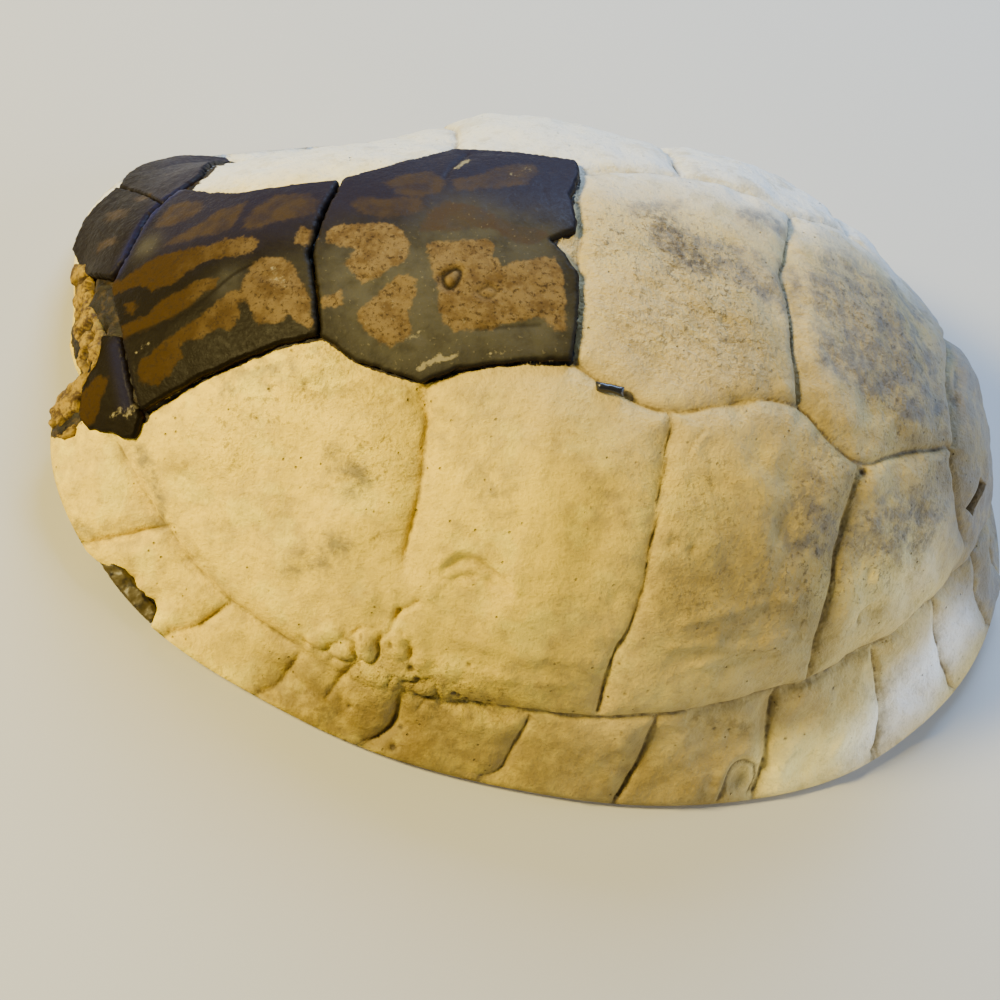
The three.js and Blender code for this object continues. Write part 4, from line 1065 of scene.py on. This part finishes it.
def inside_wall(base, share):
    """Thickness of the bone, with the backbone and the ribs that are grown into it."""
    wall = mix(WALL, RIM_WALL, np.clip((share - THICKER_FROM) / THICKER_WIDTH, 0, 1))
    x, aside = base[:, 0], np.abs(base[:, 1])
    ends = np.clip((x - SPINE_FROM) / SPINE_FADE, 0, 1) * np.clip((SPINE_TO - x) / SPINE_FADE, 0, 1)
    ribs = np.cos(math.pi * x / RIB_SPACING) ** RIB_SHARPNESS
    ribs = ribs * smooth(aside, RIB_FROM - RIB_FADE_IN, RIB_FROM + RIB_FADE_IN)
    ribs = ribs * (1 - smooth(aside, RIB_TO - RIB_FADE_OUT, RIB_TO))
    spine = np.clip(1 - aside / SPINE_HALF_WIDTH, 0, 1)
    return wall + ends * (SPINE_HEIGHT * spine + RIB_HEIGHT * ribs)


def inside_sheet():
    turn, radius, faces, edge = square_sheet(INSIDE_CELLS)
    length = unrolled.length(turn, np.full_like(turn, INSIDE_END))
    share = unrolled.share_at(turn, radius * length)
    base = outside_point(turn, share)
    depth = inside_wall(base, share) - lumps(base, INSIDE_LUMPS, INSIDE_SEED)
    points = base - outward_normal(turn, share) * depth[:, None]
    points[:, 2] = np.maximum(points[:, 2], rim_lift(turn) + INSIDE_RISE * (1 - share))
    return points, faces[:, ::-1], edge


def lip_points(turn, inset):
    """The underside of the rim, set in from its edge."""
    point = outside_point(turn, np.ones_like(turn))
    away = point[:, :2] - np.array([APEX_X, 0])
    point[:, :2] -= away / np.linalg.norm(away, axis=1, keepdims=True) * inset
    point[:, 2] = rim_lift(turn)
    return point


def outside_sheet():
    """Flat places, direction, share and faces of the outside, finer near grooves and marks."""
    turn, radius, faces, edge = square_sheet(OUTSIDE_CELLS)
    length = radius * unrolled.length(turn, np.ones_like(turn))
    flat = np.stack([length * np.cos(turn), length * np.sin(turn)], -1)
    coarse = outside_point(*unrolled.back(flat))
    lines = groove_lines() + [mark_points(mark[-1]) for mark in BONE_MARKS + LOBES]
    detail = distance_to_lines(coarse, lines, DETAIL_REACH)
    chosen = (detail[faces].min(1) < DETAIL_REACH) & (radius[faces].max(1) < 1)
    flat, faces = split_faces(flat, faces, chosen)
    turn, share = unrolled.back(flat)
    share[edge] = 1
    return turn, share, faces, edge


def bone_object():
    turn, share, faces, edge = outside_sheet()
    base = outside_point(turn, share)
    healed = painted(base, HEALED)
    groove = distance_to_lines(base, groove_lines())
    groove = np.minimum(groove + HEALED_FILL * healed, FAR)
    head_end = depth_inside(unrolled.flat(turn, share), on_flat_sheet(RESIDUE_CORNERS))
    head_end = smooth(head_end, -RESIDUE_FADE, RESIDUE_FADE)
    residue = np.maximum(head_end, painted(base, RESIDUE))
    height, dirt = bone_relief(base, share, groove, residue)
    outer = base + outward_normal(turn, share) * height[:, None]
    outer[:, 2] = np.minimum(outer[:, 2], HEIGHT)
    inner, in_faces, in_edge = inside_sheet()
    rim = turn[edge]
    lip_outer = np.arange(len(edge)) + len(outer)
    lip_inner = lip_outer + len(edge)
    inside_start = len(outer) + 2 * len(edge)
    faces += (in_faces + inside_start).tolist()
    for first, second in ((edge, lip_outer), (lip_outer, lip_inner)):
        strip = np.stack([first, second, np.roll(second, -1), np.roll(first, -1)], -1)
        faces += strip.tolist()
    ring = (in_edge + inside_start).tolist()
    every = OUTSIDE_CELLS // INSIDE_CELLS
    for i, corner in enumerate(ring):
        lips = [int(lip_inner[(i * every + k) % len(edge)]) for k in range(every, -1, -1)]
        faces.append(lips + [corner, ring[(i + 1) % len(ring)]])
    points = np.concatenate([outer, lip_points(rim, LIP_START), lip_points(rim, LIP_END), inner])
    rest = len(points) - len(outer)
    attributes = {
        "groove": np.r_[groove, np.full(rest, FAR)],
        "dirt": np.r_[dirt, np.zeros(rest)],
        "residue": np.r_[residue, np.zeros(rest)],
        "painted_shade": painted(points, PAINTED_SHADE_STROKES),
        "bleach_and_light": painted(points, BLEACHED_AND_LIT_PLACES),
        "grey": painted(points, GREY_STAINS),
        "tan": painted(points, TAN_STAINS),
        "smudge": painted(points, SMUDGES),
        "speckle": painted(points, SPECKLED),
        "inside": np.r_[np.zeros(len(outer)), np.ones(rest)],
    }
    return make_object("bone", points, faces, attributes)


def cut_slot(bone):
    """Cuts the slot near the tail through the bone."""
    degrees, share = SLOT_AT
    turn = np.array([degrees * DEG])
    at = outside_point(turn, np.array([share]))[0]
    out = Vector(outward_normal(turn, np.array([share]))[0])
    above = outside_point(turn, np.array([share - 2 * SLOPE_STEP]))
    below = outside_point(turn, np.array([share + 2 * SLOPE_STEP]))
    down = Vector((below - above)[0]).normalized()
    across = out.cross(down)
    basis = Matrix((down, across, out)).transposed() @ Matrix.Rotation(SLOT_TURN * DEG, 3, "Z")
    corners = [(x, y, z) for x in (-1, 1) for y in (-1, 1) for z in (-1, 1)]
    half = Vector((SLOT_LENGTH, SLOT_WIDTH, 4 * RIM_WALL)) / 2
    points = [Vector(at) + basis @ Vector([c * h for c, h in zip(corner, half)]) for corner in corners]
    faces = [[0, 1, 3, 2], [4, 6, 7, 5], [0, 4, 5, 1], [2, 3, 7, 6], [0, 2, 6, 4], [1, 5, 7, 3]]
    cutter = make_object("slot_cutter", np.array([tuple(p) for p in points]), faces)
    cutting = bone.modifiers.new("slot", "BOOLEAN")
    cutting.operation = "DIFFERENCE"
    cutting.object = cutter
    ready = bone.evaluated_get(bpy.context.evaluated_depsgraph_get())
    mesh = bpy.data.meshes.new_from_object(ready)
    bone.modifiers.clear()
    bone.data = mesh
    bpy.data.objects.remove(cutter)


def ragged(flat, step, growth):
    """A closed outline on the flat sheet in even steps, grown a little and slightly ragged."""
    rows = []
    for start, end in zip(flat, np.roll(flat, -1, 0)):
        count = max(1, int(np.linalg.norm(end - start) / step))
        rows.append(mix(start, end, np.arange(count)[:, None] / count))
    edge = np.concatenate(rows)
    in_space = np.c_[edge, np.zeros(len(edge))]
    seeds = (EDGE_SEED, EDGE_SEED + 1)
    shifts = np.stack([noise(in_space, EDGE_RAGGED_SIZE, seed) for seed in seeds], -1)
    along = np.roll(edge, -3, 0) - np.roll(edge, 3, 0)
    away = np.stack([along[:, 1], -along[:, 0]], -1)
    away = away / np.linalg.norm(away, axis=1, keepdims=True)
    return edge + growth * away + EDGE_RAGGED * shifts


def sheet_in_outline(edge, step):
    """Points and triangles that fill an outline on the flat sheet."""
    low, high = edge.min(0), edge.max(0)
    xs = np.arange(low[0], high[0], step)
    ys = np.arange(low[1], high[1], step * ROW_SPACING)
    grid_x, grid_y = np.meshgrid(xs, ys, indexing="ij")
    grid_x = grid_x + step / 2 * (np.arange(len(ys)) % 2)[None]
    grid = np.stack([grid_x.ravel(), grid_y.ravel()], -1)
    grid = grid[depth_inside(grid, edge) > step * EDGE_CLEARANCE]
    edges = [(i, (i + 1) % len(edge)) for i in range(len(edge))]
    places = [Vector(p) for p in np.concatenate([edge, grid])]
    found = delaunay_2d_cdt(places, edges, [], 1, 1e-7)
    return np.array([[p.x, p.y] for p in found[0]]), np.array(found[2])


def plate_object(name, flat_outline, gap, thickness, relief, step=PLATE_STEP,
                 rounding=EDGE_ROUNDING, growth=0.0, bitten=False):
    """A dense plate on the bone. relief gives heights and attributes for its top points."""
    edge = ragged(counterclockwise(flat_outline), min(step, PLATE_EDGE_STEP), growth)
    flat, faces = sheet_in_outline(edge, step)
    turn, share = unrolled.back(flat)
    share = np.clip(share, 0, 0.995)
    base = outside_point(turn, share, bitten)
    normal = outward_normal(turn, share)
    depth = np.maximum(depth_inside(flat, edge), 0)
    curve = np.sqrt(np.clip(1 - (1 - np.clip(depth / rounding, 0, 1)) ** 2, 0, 1))
    height, attributes = relief(base, turn, share, depth)
    rise = gap + thickness * mix(EDGE_HEIGHT, 1, curve) + height * curve
    top = base + normal * rise[:, None]
    bottom = base + normal * (gap - SCUTE_SINK)
    count = len(flat)
    loop = np.arange(len(edge))
    sides = np.stack([loop, np.roll(loop, -1), np.roll(loop, -1) + count, loop + count], -1)
    all_faces = faces.tolist() + (faces[:, ::-1] + count).tolist() + sides[:, ::-1].tolist()
    attributes["depth"] = depth
    doubled = {key: np.r_[values, values] for key, values in attributes.items()}
    doubled["side"] = np.r_[np.zeros(count), np.ones(count)]
    return make_object(name, np.concatenate([top, bottom]), all_faces, doubled)


def scute_relief(base, turn, share, depth):
    """Faint growth rings, cracks and pits of a scute, and where it is worn or patterned."""
    plan = base[:, :2]
    height, dirt = marked(base, SCUTE_MARKS)
    wave = RING_WAVE * noise(base, RING_WAVE_SIZE, RING_SEED)
    rings = np.sin(2 * math.pi * depth / RING_SPACING + wave)
    height += RING_HEIGHT * rings * np.exp(-depth / RING_FADE)
    height += lumps(base, SCUTE_LUMPS, SCUTE_SEED)
    attributes = {
        "yellow": patch_depth(plan, YELLOW_PATCHES),
        "brown": patch_depth(plan, BROWN_PATCHES),
        "worn": painted(base, WORN_PLACES),
        "pale": painted(base, PALE_CHIPS),
        "blue": painted(base, PAINTED_WINDOW_SHINE),
        "dirt": dirt,
    }
    return height, attributes


def crust_relief(base, turn, share, depth):
    """Crumbled lumps with holes between them."""
    height = np.zeros(len(base))
    for degrees, at, lump in CRUST_LUMPS:
        side = angle_between(turn, degrees * DEG) / (CRUST_LUMP_TURN * DEG)
        along = (share - at) / CRUST_LUMP_SHARE
        height += lump * np.exp(-side * side - along * along)
    coarse = noise(base, CRUST_COARSE[0], CRUST_SEED)
    fine = noise(base, CRUST_FINE[0], CRUST_SEED + 1)
    hole = smooth(-coarse - CRUST_HOLE_FINE_SHARE * fine, *CRUST_HOLE_RANGE)
    height += lumps(base, (CRUST_COARSE, CRUST_FINE, CRUST_GRIT), CRUST_SEED)
    height -= CRUST_HOLE_DEPTH * hole
    return height, {"hole": hole}


def plain_relief(base, turn, share, depth):
    return lumps(base, PLAIN_LUMPS, PLAIN_SEED), {}


def on_flat_sheet(corners):
    """Places on the flat sheet from directions in degrees and shares."""
    turns = np.array([degrees * DEG for degrees, share in corners])
    return unrolled.flat(turns, np.array([share for degrees, share in corners]))


class Shader:
    """Adds and joins the nodes of one material. Sizes are in millimetres."""

    def __init__(self, name, roughness, specular=0.5):
        self.material = bpy.data.materials.new(name)
        self.material.use_nodes = True
        self.tree = self.material.node_tree
        self.surface = self.tree.nodes["Principled BSDF"]
        self.surface.inputs["Roughness"].default_value = roughness
        self.surface.inputs["Specular IOR Level"].default_value = specular
        self.place = self.tree.nodes.new("ShaderNodeTexCoord").outputs["Object"]

    def link(self, socket, value):
        if isinstance(value, bpy.types.NodeSocket):
            self.tree.links.new(value, socket)
        else:
            socket.default_value = (*value, 1) if isinstance(value, tuple) else value

    def attribute(self, name):
        node = self.tree.nodes.new("ShaderNodeAttribute")
        node.attribute_name = name
        return node.outputs["Fac"]

    def noise(self, size, detail=3.0, roughness=0.55):
        node = self.tree.nodes.new("ShaderNodeTexNoise")
        self.link(node.inputs["Vector"], self.place)
        node.inputs["Scale"].default_value = 1 / (size * MM)
        node.inputs["Detail"].default_value = detail
        node.inputs["Roughness"].default_value = roughness
        return node.outputs["Fac"]

    def dots(self, size):
        """Distance to scattered places, in shares of their spacing."""
        node = self.tree.nodes.new("ShaderNodeTexVoronoi")
        self.link(node.inputs["Vector"], self.place)
        node.inputs["Scale"].default_value = 1 / (size * MM)
        return node.outputs["Distance"]

    def math(self, operation, a, b=0.0):
        node = self.tree.nodes.new("ShaderNodeMath")
        node.operation = operation
        self.link(node.inputs[0], a)
        self.link(node.inputs[1], b)
        return node.outputs[0]

    def plus(self, a, b):
        return self.math("ADD", a, b)

    def times(self, a, b):
        return self.math("MULTIPLY", a, b)

    def rise(self, value, low, high, to_low=0.0, to_high=1.0):
        """Even S curve between low and high."""
        node = self.tree.nodes.new("ShaderNodeMapRange")
        node.interpolation_type = "SMOOTHSTEP"
        flipped = high < low
        self.link(node.inputs["Value"], value)
        node.inputs["From Min"].default_value = high if flipped else low
        node.inputs["From Max"].default_value = low if flipped else high
        node.inputs["To Min"].default_value = to_high if flipped else to_low
        node.inputs["To Max"].default_value = to_low if flipped else to_high
        return node.outputs["Result"]

    def mix(self, a, b, share):
        node = self.tree.nodes.new("ShaderNodeMix")
        node.data_type = "RGBA"
        self.link(node.inputs["Factor"], share)
        self.link(node.inputs[6], a)
        self.link(node.inputs[7], b)
        return node.outputs[2]

    def along(self, axis):
        """Place along one axis in millimetres."""
        node = self.tree.nodes.new("ShaderNodeSeparateXYZ")
        self.link(node.inputs[0], self.place)
        return self.times(node.outputs[axis], 1 / MM)

    def region(self, axis, span, wander=0.0):
        """Even S curve along an axis, with a border that wanders by some millimetres."""
        return self.rise(self.plus(self.along(axis), wander), *span)

    def bump(self, height, distance):
        node = self.tree.nodes.new("ShaderNodeBump")
        node.inputs["Distance"].default_value = distance * MM
        self.link(node.inputs["Height"], height)
        self.link(self.surface.inputs["Normal"], node.outputs["Normal"])

    def colour(self, value):
        self.link(self.surface.inputs["Base Color"], value)


def bone_ground(s, broad, patchy, cloudy):
    """Cream bone, greyer and pinker to the tail and top, whiter on the far side; partly painted light.
    """
    deep = s.rise(s.plus(s.times(broad, 0.5), s.times(cloudy, 0.5)), 0.42, 0.62)
    colour = s.mix(CREAM, DEEP_CREAM, deep)
    colour = s.mix(colour, PALE_CREAM, s.times(0.6, s.rise(s.noise(PALE_PATCH, 4), 0.5, 0.64)))
    # Greyer, pinker bone towards the tail and the top: partly its own tone and partly painted cool
    # light, away from the warm lamp
    rear = s.region("X", REAR_X, s.times(broad, 14))
    pinkish = s.math("MAXIMUM", s.times(rear, 0.8), s.region("Z", TOP_Z))
    colour = s.mix(colour, PINKISH_CREAM, s.times(0.85, pinkish))
    # Lighter bone in the bleached places, partly painted light, and painted bluish-white window light
    # nearest the tail
    bleached_and_lit = s.mix(BLEACHED_AND_LIT_BONE, WINDOW_LIT_BLEACHED_BONE, s.region("X", WINDOW_LIT_BLEACHED_X))
    colour = s.mix(colour, bleached_and_lit, s.attribute("bleach_and_light"))
    # Whiter bone on the far side, partly its own tone and partly painted window light
    far = s.region("Y", WINDOW_LIT_SIDE_Y, s.times(patchy, 6))
    colour = s.mix(colour, WINDOW_LIT_WHITE, s.times(far, 0.9))
    # Painted shade at the tail end, dark grey with a cool tint of painted window light
    tail = s.times(s.region("X", SHADED_TAIL_X, s.times(patchy, 8)), s.region("Y", SHADED_TAIL_Y))
    return s.mix(colour, SHADED_TAIL_BONE, s.times(0.9, tail)), rear


def bone_shade(s, colour, broad, patchy, rear, speckle):
    """Painted shade, with a little darker bone, in the painted places and low on the near side; duller
    bone in patches.
    """
    # Painted shade, with a little darker bone, in the painted places
    painted_shade = s.times(s.attribute("painted_shade"), s.rise(patchy, 0.25, 0.75, 0.6, 1))
    colour = s.mix(colour, SHADED_BONE, s.times(0.75, painted_shade))
    # Painted shade low on the near side, kept out of the lighter places
    low = s.region("Z", LOW_SHADE_Z, s.times(broad, 12))
    low = s.times(low, s.times(s.region("X", LOW_SHADE_FRONT_X), s.region("X", LOW_SHADE_REAR_X)))
    low = s.times(low, s.rise(s.attribute("bleach_and_light"), 0.5, 0))
    colour = s.mix(colour, SHADED_BONE, s.times(low, s.rise(patchy, 0.3, 0.7, 0.35, 0.6)))
    dull = s.rise(s.noise(DULL_PATCH, 6, 0.72), 0.49, 0.64)
    dull = s.times(dull, s.plus(0.4, s.times(0.5, speckle)))
    dull = s.times(dull, s.rise(s.attribute("bleach_and_light"), 1, 0, 0.5, 1))
    return s.mix(colour, DULL_BONE, s.times(dull, s.rise(rear, 0, 1, 0.6, 1)))


def bone_stains(s, colour, cloudy, speckle, pores):
    """Tan and grey stains, smudges, specks of soil and dark pores."""
    uneven = s.rise(cloudy, 0.35, 0.62, 0.35, 1)
    colour = s.mix(colour, TAN, s.times(0.9, s.times(s.attribute("tan"), uneven)))
    clear_edge = s.plus(s.attribute("grey"), s.times(0.5, s.plus(cloudy, -0.5)))
    grey = s.times(s.rise(clear_edge, 0.15, 0.6), uneven)
    colour = s.mix(colour, BONE_GREY, s.times(0.7, grey))
    grain = s.rise(s.noise(SMUDGE_GRAIN, 5, 0.7), 0.42, 0.58)
    colour = s.mix(colour, SOIL, s.times(0.85, s.times(s.attribute("smudge"), grain)))
    speck = s.rise(s.noise(SPECK, 5, 0.75), 0.54, 0.62)
    specks = s.times(speck, s.plus(0.3, s.times(0.9, speckle)))
    colour = s.mix(colour, SOIL, s.times(specks, 0.6))
    return s.mix(colour, SOIL, s.times(pores, 0.6))


def bone_grooves(s, colour, patchy, cloudy, fine):
    """Soil in and beside the grooves and marks, and the dark residue of the scutes."""
    groove = s.attribute("groove")
    halo = s.times(s.rise(groove, 2, 0.1), s.rise(cloudy, 0.4, 0.65, 0.05, 0.4))
    colour = s.mix(colour, DULL_BONE, halo)
    soiled = s.rise(s.plus(s.times(patchy, 0.5), s.times(fine, 0.5)), 0.38, 0.62, 0.15, 0.85)
    soiled = s.times(soiled, s.rise(s.along("X"), *SOILED_GROOVE_X, 0.75, 1))
    colour = s.mix(colour, GROOVE_SOIL, s.times(s.rise(groove, 0.42, 0.08), soiled))
    grains = s.plus(s.attribute("dirt"), s.times(0.6, s.plus(s.noise(SOIL_GRAIN, 3), -0.5)))
    colour = s.mix(colour, SOIL, s.times(s.rise(grains, 0.15, 0.75), 0.85))
    edge = s.plus(s.attribute("residue"), s.times(0.9, s.plus(s.noise(RAGGED_SOIL, 3), -0.5)))
    residue = s.mix(RESIDUE_DARK, RESIDUE_PALE, s.rise(fine, 0.45, 0.7))
    return s.mix(colour, residue, s.rise(edge, 0.35, 0.55))


def bone_material():
    s = Shader("bone", 0.62, 0.3)
    broad = s.noise(BROAD, 2)
    patchy = s.noise(PATCHY, 3)
    cloudy = s.noise(CLOUDY, 5, 0.65)
    fine = s.noise(FINE, 2)
    speckle = s.attribute("speckle")
    pores = s.rise(s.dots(PORE_SPACING), 0.12, 0.05)
    pores = s.times(pores, s.rise(s.noise(PORE_PATCH, 2), 0.5, 0.6))
    colour, rear = bone_ground(s, broad, patchy, cloudy)
    colour = bone_shade(s, colour, broad, patchy, rear, speckle)
    colour = bone_stains(s, colour, cloudy, speckle, pores)
    colour = bone_grooves(s, colour, patchy, cloudy, fine)
    inner = s.mix(PINKISH_CREAM, TAN, s.rise(patchy, 0.45, 0.75, 0, 0.5))
    s.colour(s.mix(colour, inner, s.attribute("inside")))
    rough = s.plus(0.7, speckle)
    grain = s.times(s.plus(s.noise(0.45, 3), s.times(s.noise(1.4, 5, 0.65), 2)), rough)
    s.bump(s.plus(grain, s.times(pores, -1.5)), 0.2)
    return s.material


def keratin_material():
    s = Shader("keratin", 0.4, 0.07)
    coarse = s.plus(s.noise(1.7, 3), -0.5)
    crumbly = s.plus(s.noise(0.6, 3), -0.5)
    wander = s.plus(s.times(1.3, coarse), s.times(0.9, crumbly))
    yellow = s.rise(s.plus(s.attribute("yellow"), wander), -0.2, 0.3)
    brown = s.rise(s.plus(s.attribute("brown"), wander), -0.35, 0.45)
    fine = s.noise(0.7, 4, 0.7)
    patchy = s.noise(2.4, 3)
    worn = s.times(s.attribute("worn"), s.rise(patchy, 0.25, 0.6, 0.55, 1))
    # Painted sheen of the window: the dark keratin is blue-black on the side towards the window, less
    # so at the head end
    window_sheen = s.region("Y", WINDOW_SIDE_Y, s.times(patchy, 4))
    behind_rim = s.plus(s.along("X"), s.times(patchy, 6))
    behind_rim = s.rise(behind_rim, *BEHIND_RIM_X, 0.25, 1)
    ground = s.mix(OLIVE_BLACK, WINDOW_SHEEN_BLACK, s.times(window_sheen, behind_rim))
    ground = s.mix(ground, WORN_KERATIN, worn)
    colour = s.mix(ground, KERATIN_BROWN, s.times(brown, s.rise(patchy, 0.3, 0.65, 0.4, 0.95)))
    mottle = s.plus(s.times(patchy, 0.6), s.times(fine, 0.4))
    ochre = s.mix(KERATIN_ORANGE, KERATIN_YELLOW, s.rise(mottle, 0.38, 0.6))
    ochre = s.mix(KERATIN_AMBER, ochre, s.region("X", AMBER_X, s.times(patchy, 10)))
    colour = s.mix(colour, ochre, s.times(yellow, 0.92))
    speck = s.rise(s.noise(0.65, 5, 0.75), 0.52, 0.62)
    colour = s.mix(colour, KERATIN_PIT, s.times(s.times(speck, yellow), 0.8))
    pale_speck = s.times(s.rise(s.noise(0.5, 2), 0.66, 0.72), 0.3)
    colour = s.mix(colour, CHIP_PALE, s.times(pale_speck, worn))
    colour = s.mix(colour, OLIVE_BLACK, s.rise(s.attribute("dirt"), 0.2, 0.8))
    chip = s.rise(s.plus(s.attribute("pale"), s.times(1.4, s.plus(fine, -0.5))), 0.3, 0.6)
    colour = s.mix(colour, CHIP_PALE, s.times(0.85, chip))
    # Painted blue reflection of the window along the borders at the head end
    colour = s.mix(colour, BLUE_SHINE, s.times(0.8, s.attribute("blue")))
    colour = s.mix(colour, OLIVE_BLACK, s.times(0.7, s.rise(s.attribute("depth"), 0.6, 0.1)))
    colour = s.mix(colour, KERATIN_SIDE, s.rise(s.attribute("side"), 0, 0.3))
    s.colour(colour)
    matt = s.plus(fine, s.times(0.4, s.math("MAXIMUM", worn, yellow)))
    s.link(s.surface.inputs["Roughness"], s.rise(matt, 0.2, 1, 0.4, 0.72))
    s.bump(s.plus(s.noise(0.5, 3), s.times(0.6, patchy)), 0.08)
    return s.material


def crust_material():
    s = Shader("crust", 0.7, 0.3)
    patchy = s.plus(s.times(0.6, s.noise(1.6, 3)), s.times(0.4, s.noise(0.5, 3)))
    colour = s.mix(CRUST_DEEP, CRUST_PALE, s.rise(patchy, 0.4, 0.58))
    colour = s.mix(colour, SOIL, s.times(0.85, s.attribute("hole")))
    s.colour(colour)
    s.bump(s.noise(0.4, 3), 0.15)
    return s.material


def flap_material():
    s = Shader("olive_keratin", 0.45, 0.4)
    patchy = s.noise(1.2, 3)
    s.colour(s.mix(OLIVE, OLIVE_BLACK, s.rise(patchy, 0.45, 0.7)))
    s.bump(patchy, 0.1)
    return s.material


def splinter_material():
    s = Shader("splinter", 0.35, 0.6)
    s.colour(s.mix(SPLINTER_BLUE, OLIVE_BLACK, s.noise(1, 2)))
    return s.material


def finish_piece(piece, node, material):
    piece.data.materials.clear()
    piece.data.materials.append(material)
    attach(piece, "root")
    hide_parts(node)


def add_scutes():
    keratin = keratin_material()
    for name, plan in SCUTE_OUTLINES.items():
        flat = unrolled.flat(*locate(plan))
        piece = plate_object("plate_" + name, flat, SCUTE_GAP, SCUTE_THICKNESS, scute_relief,
                             growth=SCUTE_GROWTH)
        finish_piece(piece, name, keratin)
    flap = plate_object("olive_flap", on_flat_sheet(FLAP_CORNERS), -FLAP_DEPTH - FLAP_THICKNESS,
                        FLAP_THICKNESS, plain_relief, CRUST_STEP)
    finish_piece(flap, "scute_marginal_left_2", flap_material())
    splinter = plate_object("splinter", unrolled.flat(*locate(SPLINTER_OUTLINE)), SCUTE_GAP,
                            SPLINTER_THICKNESS, plain_relief, CRUST_STEP, SPLINTER_ROUNDING)
    finish_piece(splinter, "scute_splinter", splinter_material())


def add_camera():
    height, side, roll = (a * DEG for a in (CAMERA_HEIGHT_ANGLE, CAMERA_SIDE_ANGLE, CAMERA_ROLL))
    back = Vector((math.sin(side) * math.cos(height), -math.cos(side) * math.cos(height),
                   math.sin(height)))
    level = Vector((math.cos(side), math.sin(side), 0))
    upright = back.cross(level)
    right = level * math.cos(roll) + upright * math.sin(roll)
    up = upright * math.cos(roll) - level * math.sin(roll)
    data = bpy.data.cameras.new("camera")
    data.sensor_width = SENSOR_WIDTH
    data.lens = CAMERA_LENS
    data.clip_start = 0.01
    camera = bpy.data.objects.new("camera", data)
    bpy.context.scene.collection.objects.link(camera)
    matrix = Matrix((right, up, back)).transposed().to_4x4()
    matrix.translation = Vector((*CAMERA_AIM, 0)) * MM + back * (CAMERA_DISTANCE * MM)
    camera.matrix_world = matrix
    bpy.context.scene.camera = camera


def add_area_light(name, place_mm, power, size_mm, colour):
    data = bpy.data.lights.new(name, "AREA")
    data.energy = power
    data.size = size_mm * MM
    data.color = colour
    light = bpy.data.objects.new(name, data)
    bpy.context.scene.collection.objects.link(light)
    light.location = Vector(place_mm) * MM
    light.rotation_euler = (-light.location).to_track_quat("-Z", "Y").to_euler()


def add_stage():
    size = FLOOR_SIZE * MM
    mesh = bpy.data.meshes.new("floor")
    low = -FLOOR_GAP * MM
    corners = [(-size, -size, low), (size, -size, low), (size, size, low), (-size, size, low)]
    mesh.from_pydata(corners, [], [(0, 1, 2, 3)])
    floor = bpy.data.objects.new("floor", mesh)
    bpy.context.scene.collection.objects.link(floor)
    paint = Shader("floor", 0.7)
    paint.colour(FLOOR_PALE)
    floor.data.materials.append(paint.material)
    world = bpy.data.worlds.new("world")
    bpy.context.scene.world = world
    world.use_nodes = True
    sky = world.node_tree.nodes["Background"]
    sky.inputs["Color"].default_value = (*SKY_COLOUR, 1)
    sky.inputs["Strength"].default_value = SKY_STRENGTH
    add_area_light("key", KEY_PLACE, KEY_POWER, KEY_SIZE, KEY_COLOUR)
    add_area_light("window", WINDOW_PLACE, WINDOW_POWER, WINDOW_SIZE, WINDOW_COLOUR)
    add_area_light(
        "side window", SIDE_WINDOW_PLACE, SIDE_WINDOW_POWER, SIDE_WINDOW_SIZE, WINDOW_COLOUR
    )
    add_area_light("fill", FILL_PLACE, FILL_POWER, FILL_SIZE, FILL_COLOUR)


def build():
    bone = bone_object()
    cut_slot(bone)
    finish_piece(bone, "carapace", bone_material())
    add_scutes()
    crust = plate_object("crumbled_edge", on_flat_sheet(CRUST_CORNERS), CRUST_GAP, CRUST_THICKNESS,
                         crust_relief, CRUST_STEP, bitten=True)
    finish_piece(crust, "edge_crust", crust_material())
    add_camera()
    add_stage()


build()
